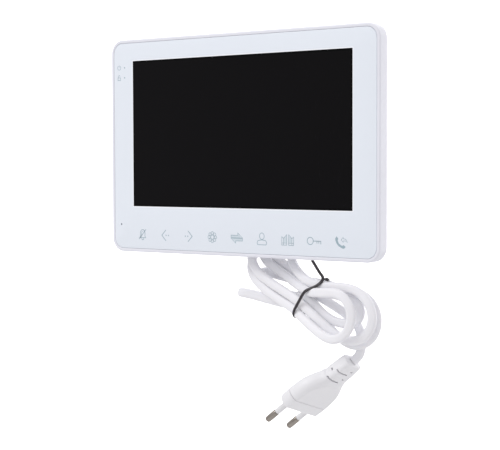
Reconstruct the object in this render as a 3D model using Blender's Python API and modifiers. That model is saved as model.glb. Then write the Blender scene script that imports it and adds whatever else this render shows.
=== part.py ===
"""Wall-mounted video intercom monitor with its mains lead and two-pin plug.

Metres, +Z up.  The origin lies on the wall plane, at the middle of the wall bracket's rear face.
+X is to the right of someone who faces the screen, +Y goes into the wall, and the screen faces -Y.
"""
import bpy
import bmesh
from math import cos, sin, pi, radians
from mathutils import Matrix, Vector

MM = 0.001
GAP = 0.3 * MM                      # clearance between pieces that touch

# ---- driving dimensions -------------------------------------------------------------------
PANEL_WIDTH = 205.0 * MM
PANEL_HEIGHT = 138.0 * MM
PANEL_RADIUS = 9.0 * MM
TOTAL_DEPTH = 25.0 * MM
FRAME_DEPTH = 8.1 * MM              # the front frame's side wall
FRAME_WALL = 2.2 * MM
LEDGE_WIDTH = 4.0 * MM
LEDGE_THICKNESS = 1.2 * MM
GLASS_THICKNESS = 1.8 * MM
GLASS_RECESS = 0.1 * MM
WINDOW_CENTRE_Z = 7.9 * MM
DISPLAY_SIZE = (165.0 * MM, 100.0 * MM, 3.4 * MM)
KEY_ROW_Z = -57.5 * MM
KEY_PITCH = 19.1 * MM
KEY_COUNT = 9

HOUSING_SIDE_INSET = 15.5 * MM      # the rear housing stands in from the frame's outline
HOUSING_BOTTOM_INSET = 15.0 * MM
HOUSING_TOP_INSET = 12.0 * MM
HOUSING_WALL = 2.0 * MM
HOUSING_RADIUS = 6.0 * MM
FLANGE_THICKNESS = 1.6 * MM
WALL_CLEARANCE = 1.8 * MM           # from the housing's back to the wall
BOARD_THICKNESS = 1.6 * MM
BOARD_REAR_Y = -7.8 * MM            # rear face of both circuit boards

BRACKET_WIDTH = 88.0 * MM
BRACKET_HEIGHT = 76.0 * MM
BRACKET_THICKNESS = 1.5 * MM
CABLE_WINDOW = (56.0 * MM, 15.0 * MM)
CABLE_WINDOW_Z = -24.0 * MM
FIXING_HOLE_DIAMETER = 4.5 * MM
FIXING_X = 30.0 * MM                # the four wall screws' places
FIXING_Z = (30.0 * MM, -2.0 * MM)
HOOK_X = 37.0 * MM
HOOK_Z = (28.0 * MM, -28.0 * MM)    # underside of each hook's neck
HOOK_WIDTH = 8.0 * MM
HOOK_NECK = 2.4 * MM
HOOK_LIP = 3.2 * MM
HOOK_SLOT_HEIGHT = 6.4 * MM

SPEAKER_PLACE = (-65.0 * MM, -31.0 * MM)
SPEAKER_RADIUS = 16.5 * MM
SPEAKER_HEIGHT = 6.0 * MM
MAIN_BOARD = (-80.0 * MM, 36.0 * MM)        # left and right edges
SUPPLY_BOARD = (40.0 * MM, 82.0 * MM)
BOARD_BOTTOM = -44.0 * MM
BOARD_TOP = 52.0 * MM
BOARD_SCREW_INSET = 6.0 * MM
CHIP_SIZE = 14.0 * MM
CHIP_HEIGHT = 1.4 * MM
CAPACITOR_RADIUS = 3.7 * MM
FUSE_RADIUS = 2.6 * MM
POWER_PART_LENGTH = 20.0 * MM       # of the capacitor and of the fuse
RIBBON_HALF_WIDTH = 15.0 * MM
RIBBON_THICKNESS = 0.3 * MM
HEADER_PITCH = 13.2 * MM
HEADER_HALF_WIDTH = 5.2 * MM
HEADER_HALF_HEIGHT = 3.0 * MM
HEADER_PIN_PITCH = 2.0 * MM
GRILLE_ROWS = 6
GRILLE_PITCH = 4.0 * MM
VENT_COUNT = 10
VENT_PITCH = 9.0 * MM

BOSS_RADIUS = 3.2 * MM
PILOT_RADIUS = 1.5 * MM
SCREW_HOLE_RADIUS = 1.6 * MM
SCREW_HEAD_RADIUS = 2.6 * MM
SCREW_CORE_RADIUS = 1.15 * MM
HOUSING_SCREW_LENGTH = 3.0 * MM
BOARD_SCREW_LENGTH = 4.4 * MM
POST_RADIUS = 2.6 * MM
POST_HOLE_RADIUS = 1.4 * MM
MIC_PINHOLE_RADIUS = 0.6 * MM
LIGHT_PIPE_RADIUS = 1.2 * MM
LIGHT_PIPE_LENGTH = 2.2 * MM
GASKET_THICKNESS = 0.6 * MM
FILM_BOARD_THICKNESS = 1.2 * MM     # the touch board and the indicator board

SWITCH_X = -34.0 * MM
SWITCH_Y = -9.8 * MM
SWITCH_TRAVEL = 3.0 * MM
GLAND_X = 30.5 * MM
GLAND_Y = -9.6 * MM
GLAND_DROP = 13.0 * MM              # how far the gland reaches below the housing
CORD_RADIUS = 1.9 * MM

TIE_CENTRE = Vector((46.5, -16.0, -91.4)) * MM
TIE_NORMAL = Vector((0.6, 0.0, 0.8))        # across the hank, in the plane of the wall
TIE_RADIUS = 0.8 * MM
HANK_THICKNESS = 12.0 * MM

CORD_LEAD = ((30.7, -9.9, -69.3), (32.6, -11.6, -72.6), (33.6, -12.1, -73.6))    # mm, below the gland
CORD_TAIL = ((81.3, -10.6, -122.4), (80.9, -11.2, -124.7))                       # mm, down to the plug

PLUG_REAR = Vector((76.2, -11.9, -128.9)) * MM     # where the lead enters the plug
PLUG_AXIS = Vector((-0.773, -0.065, -0.631)).normalized()   # the way the pins point
PLUG_ACROSS = Vector((0.194, 0.923, -0.332))                # from pin to pin, before squaring
PLUG_LENGTH = 48.0 * MM
PLUG_BAND = 8.4 * MM
PLUG_HALF_WIDTH = 15.7 * MM
PLUG_HALF_THICKNESS = 5.5 * MM
PLUG_EDGE = 0.4 * MM                # how far the front face's edges are drawn in
NECK_HALF_WIDTH = 6.3 * MM
NECK_HALF_THICKNESS = 4.3 * MM
PIN_LENGTH = 19.0 * MM
PIN_RADIUS = 2.0 * MM
PIN_CORE_RADIUS = 1.15 * MM         # inside the sleeve and the plug
PIN_ROOT = 5.6 * MM                 # how deep the pin sits in the plug
PIN_SPACING = 18.6 * MM
SLEEVE_LENGTH = 10.0 * MM

# ---- places worked out from the dimensions --------------------------------------------------
FRONT_Y = -TOTAL_DEPTH
FRAME_REAR_Y = FRONT_Y + FRAME_DEPTH
GLASS_FRONT_Y = FRONT_Y + GLASS_RECESS
GLASS_REAR_Y = GLASS_FRONT_Y + GLASS_THICKNESS
LEDGE_FRONT_Y = GLASS_REAR_Y + GAP
LEDGE_REAR_Y = LEDGE_FRONT_Y + LEDGE_THICKNESS
INNER_HALF_WIDTH = PANEL_WIDTH / 2 - FRAME_WALL
INNER_HALF_HEIGHT = PANEL_HEIGHT / 2 - FRAME_WALL
HOUSING_HALF_WIDTH = PANEL_WIDTH / 2 - HOUSING_SIDE_INSET
HOUSING_BOTTOM = -PANEL_HEIGHT / 2 + HOUSING_BOTTOM_INSET
HOUSING_TOP = PANEL_HEIGHT / 2 - HOUSING_TOP_INSET
HOUSING_FRONT_Y = FRAME_REAR_Y + GAP
HOUSING_REAR_Y = -WALL_CLEARANCE
HOUSING_FLOOR_Y = HOUSING_REAR_Y - HOUSING_WALL
FLANGE_FRONT_Y = HOUSING_FRONT_Y - FLANGE_THICKNESS
BOARD_FRONT_Y = BOARD_REAR_Y - BOARD_THICKNESS
SCREW_X = INNER_HALF_WIDTH - 5.8 * MM
SCREW_Z = INNER_HALF_HEIGHT - 6.3 * MM
INDICATOR_PLACES = ((-91.1 * MM, 51.0 * MM), (-91.1 * MM, 44.5 * MM))
MIC_PLACE = (-94.7 * MM, -51.2 * MM)

for old in list(bpy.data.objects):
    bpy.data.objects.remove(old, do_unlink=True)


def collection(name):
    made = bpy.data.collections.new(name)
    bpy.context.scene.collection.children.link(made)
    return made


PARTS = collection("video_intercom_monitor")
TOOLS = collection("cutters")


# ---- materials --------------------------------------------------------------------------------
def material(name, colour, roughness, metallic=0.0, transmission=0.0):
    made = bpy.data.materials.new(name)
    made.use_nodes = True
    shader = made.node_tree.nodes["Principled BSDF"]
    shader.inputs["Base Color"].default_value = (*colour, 1.0)
    shader.inputs["Roughness"].default_value = roughness
    shader.inputs["Metallic"].default_value = metallic
    shader.inputs["Transmission Weight"].default_value = transmission
    made.diffuse_color = (*colour, 1.0)
    return made


# ---- building blocks ----------------------------------------------------------------------------
def add(name, mesh, finish=None, smooth=True):
    """Link a mesh as a named object; pieces without a finish are tools."""
    obj = bpy.data.objects.new(name, mesh)
    if finish:
        mesh.materials.append(finish)
        PARTS.objects.link(obj)
    else:
        TOOLS.objects.link(obj)
        obj.hide_render = True
        obj.display_type = "WIRE"
    if smooth:
        mesh.shade_smooth()
        mesh.set_sharp_from_angle(angle=radians(35))
    return obj


def box(name, low, high, finish=None, radius=0.0, axis=None, segments=3):
    """A box between two corners; radius rounds the edges that run along axis, or all of them."""
    low = Vector(low)
    high = Vector(high)
    work = bmesh.new()
    bmesh.ops.create_cube(work, size=1.0)
    bmesh.ops.scale(work, vec=high - low, verts=work.verts)
    bmesh.ops.translate(work, vec=(low + high) / 2, verts=work.verts)
    if radius:
        chosen = [e for e in work.edges if axis is None or runs_along(e, axis)]
        bmesh.ops.bevel(work, geom=chosen, offset=radius, segments=segments,
                        profile=0.5, affect="EDGES", clamp_overlap=True)
    mesh = bpy.data.meshes.new(name)
    work.to_mesh(mesh)
    work.free()
    return add(name, mesh, finish)


def runs_along(edge, axis):
    direction = (edge.verts[1].co - edge.verts[0].co).normalized()
    return abs(direction[axis]) > 0.99


def slab(name, half_width, bottom, top, front, rear, radius, finish=None, segments=5):
    """A plate parallel to the wall with rounded corners."""
    return box(name, (-half_width, front, bottom), (half_width, rear, top), finish,
               radius, axis=1, segments=segments)


def rod(name, start, end, radius, finish=None, sides=20):
    """A cylinder between two points."""
    start = Vector(start)
    end = Vector(end)
    axis = end - start
    work = bmesh.new()
    bmesh.ops.create_cone(work, cap_ends=True, segments=sides, radius1=radius, radius2=radius,
                          depth=axis.length)
    turn = axis.to_track_quat("Z", "Y").to_matrix().to_4x4()
    work.transform(Matrix.Translation((start + end) / 2) @ turn)
    mesh = bpy.data.meshes.new(name)
    work.to_mesh(mesh)
    work.free()
    return add(name, mesh, finish)


def turned(name, profile, place, finish, sides=20):
    """A turned solid: the profile runs down its outer side, in radius and height."""
    mesh = bpy.data.meshes.new(name)
    points = [(radius, 0.0, height) for radius, height in profile]
    mesh.from_pydata(points, [(i, i + 1) for i in range(len(points) - 1)], [])
    obj = add(name, mesh, finish, smooth=False)
    obj.matrix_world = place
    spin = obj.modifiers.new("turn", "SCREW")
    spin.steps = sides
    spin.render_steps = sides
    spin.use_merge_vertices = True
    spin.merge_threshold = 0.00001
    spin.use_smooth_shade = True
    return obj


def cut(obj, tool, operation="DIFFERENCE"):
    change = obj.modifiers.new(tool.name, "BOOLEAN")
    change.operation = operation
    change.solver = "EXACT"
    change.object = tool
    return obj


def join(obj, tool):
    return cut(obj, tool, "UNION")


def tube(name, points, radius, finish, resolution=2):
    """A round bar along a smooth curve through the points, with closed ends."""
    route = smooth_route([Vector(p) for p in points], radius)
    data = bpy.data.curves.new(name, "CURVE")
    data.dimensions = "3D"
    data.bevel_depth = radius
    data.bevel_resolution = resolution
    data.use_fill_caps = True
    data.render_resolution_u = 0
    spline = data.splines.new("POLY")
    spline.points.add(len(route) - 1)
    for target, point in zip(spline.points, route):
        target.co = (*point, 1.0)
    data.materials.append(finish)
    obj = bpy.data.objects.new(name, data)
    PARTS.objects.link(obj)
    return obj


def smooth_route(points, radius):
    """A Catmull-Rom curve through the points, sampled every two and a half diameters or less."""
    ends = [2 * points[0] - points[1]] + points + [2 * points[-1] - points[-2]]
    route = []
    for a, b, c, d in zip(ends, ends[1:], ends[2:], ends[3:]):
        steps = max(2, round((c - b).length / (5.0 * radius)))
        for step in range(steps):
            t = step / steps
            route.append(0.5 * (2 * b + (c - a) * t + (2 * a - 5 * b + 4 * c - d) * t ** 2
                                + (3 * b - a - 3 * c + d) * t ** 3))
    return route + [points[-1]]


def screw(name, x, z, head_rear_y, towards, length, finish):
    """A pan-head screw along Y; towards is +1 when its tip points at the wall."""
    turn = Matrix.Rotation(radians(90.0 * towards), 4, "X")
    place = Matrix.Translation((x, head_rear_y, z)) @ turn
    head = SCREW_HEAD_RADIUS
    core = SCREW_CORE_RADIUS
    profile = [(0.0, 1.5 * MM), (head * 0.7, 1.4 * MM), (head, 0.6 * MM), (head, 0.0),
               (core, 0.0), (core, -length), (0.0, -length - 0.6 * MM)]
    obj = turned(name, profile, place, finish, sides=12)
    drive = box(name + "_drive", (-1.5 * MM, -0.3 * MM, 0.7 * MM), (1.5 * MM, 0.3 * MM, 2.0 * MM))
    drive.matrix_world = place
    other = box(name + "_drive_b", (-0.3 * MM, -1.5 * MM, 0.7 * MM), (0.3 * MM, 1.5 * MM, 2.0 * MM))
    other.matrix_world = place
    cut(obj, drive)
    return cut(obj, other)


# ---- wall bracket ---------------------------------------------------------------------------------
def build_bracket():
    steel = material("zinc_plated_steel", (0.62, 0.63, 0.65), 0.38, 1.0)
    plate = slab("wall_bracket", BRACKET_WIDTH / 2, -BRACKET_HEIGHT / 2, BRACKET_HEIGHT / 2,
                 -BRACKET_THICKNESS, 0.0, 4.0 * MM, steel)
    window = slab("bracket_window", CABLE_WINDOW[0] / 2, CABLE_WINDOW_Z - CABLE_WINDOW[1] / 2,
                  CABLE_WINDOW_Z + CABLE_WINDOW[1] / 2, -3.0 * MM, 3.0 * MM, 2.5 * MM)
    cut(plate, window)
    for i, z in enumerate(FIXING_Z):
        for side in (-1, 1):
            x = side * FIXING_X * (0.55 if i else 1.0)
            cut(plate, rod(f"fixing_{i}_{side}", (x, -3.0 * MM, z), (x, 3.0 * MM, z),
                           FIXING_HOLE_DIAMETER / 2))
    for i, z in enumerate(HOOK_Z):
        for side in (-1, 1):
            x = side * HOOK_X
            tip_y = HOUSING_FLOOR_Y - 1.7 * MM
            neck = box(f"hook_neck_{i}_{side}", (x - HOOK_WIDTH / 2, tip_y, z),
                       (x + HOOK_WIDTH / 2, -BRACKET_THICKNESS / 2, z + HOOK_NECK))
            lip = box(f"hook_lip_{i}_{side}",
                      (x - HOOK_WIDTH / 2, tip_y, z + HOOK_NECK / 2),
                      (x + HOOK_WIDTH / 2, HOUSING_FLOOR_Y - GAP, z + HOOK_NECK + HOOK_LIP))
            join(plate, neck)
            join(plate, lip)


# ---- casing ----------------------------------------------------------------------------------------
def build_front_frame():
    white = material("frame_white_plastic", (0.80, 0.82, 0.86), 0.35)
    half_width = PANEL_WIDTH / 2
    half_height = PANEL_HEIGHT / 2
    frame = slab("front_frame", half_width, -half_height, half_height, FRONT_Y, FRAME_REAR_Y,
                 PANEL_RADIUS, white, segments=6)
    recess = slab("glass_recess", INNER_HALF_WIDTH, -INNER_HALF_HEIGHT, INNER_HALF_HEIGHT,
                  FRONT_Y - MM, LEDGE_FRONT_Y, PANEL_RADIUS - FRAME_WALL)
    opening = slab("ledge_opening", INNER_HALF_WIDTH - LEDGE_WIDTH, -INNER_HALF_HEIGHT + LEDGE_WIDTH,
                   INNER_HALF_HEIGHT - LEDGE_WIDTH, FRONT_Y - MM, 0.0, 3.0 * MM)
    back = slab("frame_hollow", INNER_HALF_WIDTH, -INNER_HALF_HEIGHT, INNER_HALF_HEIGHT,
                LEDGE_REAR_Y, 0.0, PANEL_RADIUS - FRAME_WALL)
    for tool in (recess, opening, back):
        cut(frame, tool)
    for x in (-SCREW_X, SCREW_X):
        for z in (-SCREW_Z, SCREW_Z):
            boss_end = FLANGE_FRONT_Y - GAP
            join(frame, rod(f"boss_{x:.3f}_{z:.3f}", (x, LEDGE_FRONT_Y + 0.2 * MM, z), (x, boss_end, z),
                            BOSS_RADIUS))
            cut(frame, rod(f"pilot_{x:.3f}_{z:.3f}", (x, LEDGE_REAR_Y, z), (x, 0.0, z), PILOT_RADIUS))
    mic_x, mic_z = MIC_PLACE
    cut(frame, rod("mic_path", (mic_x, FRONT_Y, mic_z), (mic_x, LEDGE_REAR_Y + MM, mic_z), 0.8 * MM))


def build_glass():
    glass = material("front_glass_print", (0.78, 0.82, 0.88), 0.12)
    plate = slab("front_glass", INNER_HALF_WIDTH - GAP, -INNER_HALF_HEIGHT + GAP,
                 INNER_HALF_HEIGHT - GAP, GLASS_FRONT_Y, GLASS_REAR_Y, PANEL_RADIUS - FRAME_WALL, glass)
    mic_x, mic_z = MIC_PLACE
    cut(plate, rod("mic_pinhole", (mic_x, FRONT_Y - MM, mic_z), (mic_x, 0.0, mic_z),
                   MIC_PINHOLE_RADIUS, sides=12))


def build_display():
    foam = material("black_foam", (0.03, 0.03, 0.03), 0.9)
    black = material("display_black", (0.02, 0.02, 0.025), 0.25)
    width, height, depth = DISPLAY_SIZE
    front = GLASS_REAR_Y + GAP
    gasket = slab("lcd_gasket", width / 2 - MM, WINDOW_CENTRE_Z - height / 2 + MM,
                  WINDOW_CENTRE_Z + height / 2 - MM, front, front + GASKET_THICKNESS, 2.0 * MM, foam)
    cut(gasket, slab("gasket_opening", width / 2 - 5.0 * MM, WINDOW_CENTRE_Z - height / 2 + 5.0 * MM,
                     WINDOW_CENTRE_Z + height / 2 - 5.0 * MM, FRONT_Y, 0.0, 1.0 * MM))
    panel_front = front + GASKET_THICKNESS + GAP
    slab("lcd_module", width / 2, WINDOW_CENTRE_Z - height / 2, WINDOW_CENTRE_Z + height / 2,
         panel_front, panel_front + depth, 1.0 * MM, black, segments=2)


def build_touch_board():
    green = material("touch_board_green", (0.03, 0.22, 0.10), 0.45)
    front = GLASS_REAR_Y + GAP
    span = KEY_PITCH * (KEY_COUNT - 1) / 2 + 12.0 * MM
    board = slab("touch_board", span, KEY_ROW_Z - 4.8 * MM, KEY_ROW_Z + 4.8 * MM,
                 front, front + FILM_BOARD_THICKNESS, MM, green, segments=2)
    socket = box("touch_socket", (-6.0 * MM, front + 0.6 * MM, KEY_ROW_Z - 2.0 * MM),
                 (6.0 * MM, front + 3.2 * MM, KEY_ROW_Z + 2.0 * MM))
    join(board, socket)


def build_indicators():
    clear = material("light_pipe_clear", (0.85, 0.88, 0.90), 0.15, transmission=0.6)
    green = material("indicator_board_green", (0.03, 0.22, 0.10), 0.45)
    front = GLASS_REAR_Y + GAP
    for i, (x, z) in enumerate(INDICATOR_PLACES, start=1):
        rod(f"light_pipe_{i}", (x, front, z), (x, front + LIGHT_PIPE_LENGTH, z), LIGHT_PIPE_RADIUS,
            clear, sides=16)
    x = INDICATOR_PLACES[0][0]
    middle = (INDICATOR_PLACES[0][1] + INDICATOR_PLACES[1][1]) / 2
    board_front = front + LIGHT_PIPE_LENGTH + GAP
    box("indicator_board", (x - 4.0 * MM, board_front, middle - 8.0 * MM),
        (x + 4.0 * MM, board_front + FILM_BOARD_THICKNESS, middle + 8.0 * MM), green)


def build_microphone():
    metal = material("microphone_can", (0.70, 0.70, 0.70), 0.35, 1.0)
    rubber = material("microphone_rubber", (0.04, 0.04, 0.04), 0.8)
    x, z = MIC_PLACE
    front = LEDGE_REAR_Y + GAP
    boot = rod("microphone_boot", (x, front, z), (x, front + 2.8 * MM, z), 3.4 * MM, rubber, sides=24)
    cut(boot, rod("boot_pocket", (x, front + 0.7 * MM, z), (x, 0.0, z), 2.35 * MM, sides=24))
    cut(boot, rod("boot_sound_hole", (x, front - MM, z), (x, 0.0, z), MIC_PINHOLE_RADIUS, sides=12))
    rod("microphone", (x, front + 1.0 * MM, z), (x, front + 2.8 * MM, z), 2.05 * MM, metal, sides=24)


def build_rear_housing():
    white = material("housing_white_plastic", (0.76, 0.77, 0.80), 0.45)
    shell = slab("rear_housing", HOUSING_HALF_WIDTH, HOUSING_BOTTOM, HOUSING_TOP,
                 HOUSING_FRONT_Y - MM, HOUSING_REAR_Y, HOUSING_RADIUS, white)
    flange_height = INNER_HALF_HEIGHT - 0.4 * MM
    join(shell, slab("flange", INNER_HALF_WIDTH - 0.4 * MM, -flange_height, flange_height,
                     FLANGE_FRONT_Y, HOUSING_FRONT_Y, PANEL_RADIUS - FRAME_WALL))
    cut(shell, slab("housing_hollow", HOUSING_HALF_WIDTH - HOUSING_WALL, HOUSING_BOTTOM + HOUSING_WALL,
                    HOUSING_TOP - HOUSING_WALL, FRONT_Y, HOUSING_FLOOR_Y, HOUSING_RADIUS - HOUSING_WALL))
    cut(shell, slab("terminal_bay", CABLE_WINDOW[0] / 2, CABLE_WINDOW_Z - CABLE_WINDOW[1] / 2,
                    CABLE_WINDOW_Z + CABLE_WINDOW[1] / 2, HOUSING_FLOOR_Y - MM, 0.0, 2.0 * MM))
    for i, z in enumerate(HOOK_Z):
        for side in (-1, 1):
            x = side * HOOK_X
            top = z + HOOK_NECK + GAP
            cut(shell, box(f"hook_slot_{i}_{side}",
                           (x - HOOK_WIDTH / 2 - 0.5 * MM, HOUSING_FLOOR_Y - MM, top - HOOK_SLOT_HEIGHT),
                           (x + HOOK_WIDTH / 2 + 0.5 * MM, 0.0, top)))
    for x in (-SCREW_X, SCREW_X):
        for z in (-SCREW_Z, SCREW_Z):
            cut(shell, rod(f"screw_hole_{x:.3f}_{z:.3f}", (x, FRONT_Y, z), (x, 0.0, z), SCREW_HOLE_RADIUS))
    for x, z in board_screw_places() + supply_screw_places():
        join(shell, rod(f"post_{x:.3f}_{z:.3f}", (x, BOARD_REAR_Y + GAP, z),
                        (x, HOUSING_FLOOR_Y + MM, z), POST_RADIUS, sides=16))
        cut(shell, rod(f"post_hole_{x:.3f}_{z:.3f}", (x, FRONT_Y, z),
                       (x, HOUSING_FLOOR_Y + 0.6 * MM, z), POST_HOLE_RADIUS, sides=16))
    middle = (GRILLE_ROWS - 1) / 2
    for row in range(GRILLE_ROWS):
        z = SPEAKER_PLACE[1] + (row - middle) * GRILLE_PITCH
        half = (10.0 - 1.2 * abs(row - middle)) * MM
        cut(shell, box(f"grille_{row}", (SPEAKER_PLACE[0] - half, HOUSING_FLOOR_Y - MM, z - 0.8 * MM),
                       (SPEAKER_PLACE[0] + half, 0.0, z + 0.8 * MM)))
    for column in range(VENT_COUNT):
        x = (column - (VENT_COUNT - 1) / 2) * VENT_PITCH
        cut(shell, box(f"top_vent_{column}", (x - 2.7 * MM, -12.0 * MM, HOUSING_TOP - 5.0 * MM),
                       (x + 2.7 * MM, -10.4 * MM, HOUSING_TOP + 5.0 * MM)))
    cut(shell, rod("gland_hole", (GLAND_X, GLAND_Y, HOUSING_BOTTOM - MM),
                   (GLAND_X, GLAND_Y, HOUSING_BOTTOM + HOUSING_WALL + MM), 4.0 * MM, sides=24))
    cut(shell, box("switch_slot", (SWITCH_X - 2.4 * MM, SWITCH_Y - 2.0 * MM, HOUSING_BOTTOM - MM),
                   (SWITCH_X + 2.4 * MM + SWITCH_TRAVEL, SWITCH_Y + 2.0 * MM,
                    HOUSING_BOTTOM + HOUSING_WALL + MM)))


# ---- electronics ---------------------------------------------------------------------------------
def board_screw_places():
    left, right = MAIN_BOARD
    inset = BOARD_SCREW_INSET
    return [(left + inset, BOARD_TOP - inset), (right - inset, BOARD_TOP - inset),
            (left + inset, -2.0 * MM), (right - inset, BOARD_BOTTOM + inset)]


def supply_screw_places():
    left, right = SUPPLY_BOARD
    inset = BOARD_SCREW_INSET
    return [(left + inset, BOARD_TOP - inset), (right - inset, BOARD_BOTTOM + inset)]


def build_boards():
    green = material("main_board_green", (0.02, 0.18, 0.08), 0.45)
    brown = material("supply_board_tan", (0.42, 0.28, 0.12), 0.6)
    left, right = MAIN_BOARD
    main = box("main_board", (left, BOARD_FRONT_Y, BOARD_BOTTOM), (right, BOARD_REAR_Y, BOARD_TOP), green)
    cut(main, box("speaker_notch", (left - MM, -0.1, BOARD_BOTTOM - MM), (-45.0 * MM, 0.1, -9.0 * MM)))
    for row in range(2):
        for column in range(2):
            low = ((-30.0 + 24.0 * column) * MM, BOARD_FRONT_Y - CHIP_HEIGHT, (6.0 + 20.0 * row) * MM)
            high = (low[0] + CHIP_SIZE, BOARD_FRONT_Y + 0.5 * MM, low[2] + CHIP_SIZE)
            join(main, box(f"chip_{row}_{column}", low, high))
    left, right = SUPPLY_BOARD
    supply = box("power_supply_board", (left, BOARD_FRONT_Y, BOARD_BOTTOM),
                 (right, BOARD_REAR_Y, BOARD_TOP), brown)
    for board, places in ((main, board_screw_places()), (supply, supply_screw_places())):
        for x, z in places:
            cut(board, rod(f"board_hole_{x:.3f}_{z:.3f}", (x, FRONT_Y, z), (x, 0.0, z), SCREW_HOLE_RADIUS,
                           sides=16))


def build_supply_parts():
    ferrite = material("transformer_yellow", (0.75, 0.55, 0.08), 0.5)
    sleeve = material("capacitor_sleeve", (0.03, 0.05, 0.12), 0.35)
    glass = material("fuse_glass", (0.75, 0.78, 0.78), 0.15, transmission=0.4)
    rear = BOARD_FRONT_Y - GAP
    core = box("transformer", (52.0 * MM, rear - 7.2 * MM, -14.0 * MM), (70.0 * MM, rear, 4.0 * MM),
               ferrite, radius=0.8 * MM, segments=2)
    join(core, box("transformer_core", (49.0 * MM, rear - 5.6 * MM, -9.0 * MM),
                   (73.0 * MM, rear - 1.6 * MM, -1.0 * MM)))
    lying = rear - CAPACITOR_RADIUS
    capacitor_start = Vector((50.0 * MM, lying, 18.0 * MM))
    length = Vector((POWER_PART_LENGTH, 0.0, 0.0))
    rod("capacitor", capacitor_start, capacitor_start + length, CAPACITOR_RADIUS, sleeve)
    fuse_start = Vector((51.0 * MM, rear - FUSE_RADIUS, -26.0 * MM))
    rod("fuse", fuse_start, fuse_start + length, FUSE_RADIUS, glass, sides=16)


def build_ribbon():
    """The display's flat cable: an S-shaped strip from the display's back to the main board."""
    plastic = material("ribbon_white", (0.80, 0.80, 0.78), 0.5)
    front = GLASS_REAR_Y + 3 * GAP + GASKET_THICKNESS + DISPLAY_SIZE[2] + 0.2 * MM
    rear = BOARD_FRONT_Y - GAP - 0.2 * MM
    steps = 12
    work = bmesh.new()
    rows = []
    for i in range(steps + 1):
        t = i / steps
        ease = t * t * (3 - 2 * t)
        y = front + (rear - front) * ease
        z = (-6.0 - 18.0 * t) * MM
        rows.append([work.verts.new((x, y, z)) for x in (-RIBBON_HALF_WIDTH, RIBBON_HALF_WIDTH)])
    for upper, lower in zip(rows, rows[1:]):
        work.faces.new((upper[0], upper[1], lower[1], lower[0]))
    mesh = bpy.data.meshes.new("display_ribbon")
    work.to_mesh(mesh)
    work.free()
    obj = add("display_ribbon", mesh, plastic)
    thick = obj.modifiers.new("thickness", "SOLIDIFY")
    thick.thickness = RIBBON_THICKNESS
    thick.offset = 0.0


def build_speaker():
    paper = material("speaker_black", (0.05, 0.05, 0.05), 0.6)
    x, z = SPEAKER_PLACE
    place = Matrix.Translation((x, HOUSING_FLOOR_Y - GAP, z)) @ Matrix.Rotation(radians(90), 4, "X")
    magnet = 8.0 * MM
    rim = 1.6 * MM
    profile = [(0.0, SPEAKER_HEIGHT), (magnet, SPEAKER_HEIGHT), (magnet, 3.6 * MM),
               (SPEAKER_RADIUS - MM, rim), (SPEAKER_RADIUS, rim), (SPEAKER_RADIUS, 0.0),
               (SPEAKER_RADIUS - 2.5 * MM, 0.0), (7.0 * MM, 1.4 * MM), (0.0, 0.8 * MM)]
    turned("speaker", profile, place, paper, sides=28)


def build_headers():
    nylon = material("header_nylon", (0.72, 0.70, 0.64), 0.5)
    for i, name in enumerate(("header_door_1", "header_door_2", "header_camera", "header_gate")):
        x = (i - 1.5) * HEADER_PITCH
        front = BOARD_REAR_Y + GAP
        rear = HOUSING_FLOOR_Y + 1.0 * MM
        block = box(name, (x - HEADER_HALF_WIDTH, front, CABLE_WINDOW_Z - HEADER_HALF_HEIGHT),
                    (x + HEADER_HALF_WIDTH, rear, CABLE_WINDOW_Z + HEADER_HALF_HEIGHT), nylon)
        cut(block, box(name + "_socket", (x - 4.4 * MM, front + 1.2 * MM, CABLE_WINDOW_Z - 1.9 * MM),
                       (x + 4.4 * MM, 0.0, CABLE_WINDOW_Z + 2.1 * MM)))
        for pin in range(4):
            px = x + (pin - 1.5) * HEADER_PIN_PITCH
            join(block, box(f"{name}_pin_{pin}", (px - 0.3 * MM, front + 0.5 * MM, CABLE_WINDOW_Z - 0.3 * MM),
                            (px + 0.3 * MM, rear - 0.8 * MM, CABLE_WINDOW_Z + 0.3 * MM)))


def build_switch():
    black = material("switch_black", (0.03, 0.03, 0.03), 0.5)
    cap = material("switch_cap_black", (0.02, 0.02, 0.02), 0.4)
    floor = HOUSING_BOTTOM + HOUSING_WALL
    box("power_switch", (SWITCH_X - 5.0 * MM, SWITCH_Y - 2.8 * MM, floor + GAP + 1.6 * MM),
        (SWITCH_X + 8.0 * MM, SWITCH_Y + 2.8 * MM, floor + 7.0 * MM), black)
    knob = box("power_switch_knob", (-2.1 * MM, -1.7 * MM, -1.8 * MM),
               (2.1 * MM, 1.7 * MM, HOUSING_WALL + 1.6 * MM), cap, radius=0.5 * MM, segments=2)
    knob.location = (SWITCH_X, SWITCH_Y, HOUSING_BOTTOM)


def build_screws():
    zinc = material("screw_zinc", (0.66, 0.66, 0.68), 0.32, 1.0)
    number = 0
    for x in (-SCREW_X, SCREW_X):
        for z in (-SCREW_Z, SCREW_Z):
            number += 1
            screw(f"housing_screw_{number}", x, z, HOUSING_FRONT_Y + GAP, -1,
                  HOUSING_SCREW_LENGTH, zinc)
    for i, (x, z) in enumerate(board_screw_places(), start=1):
        screw(f"board_screw_{i}", x, z, BOARD_FRONT_Y - GAP, 1, BOARD_SCREW_LENGTH, zinc)
    for i, (x, z) in enumerate(supply_screw_places(), start=1):
        screw(f"supply_screw_{i}", x, z, BOARD_FRONT_Y - GAP, 1, BOARD_SCREW_LENGTH, zinc)


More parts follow.
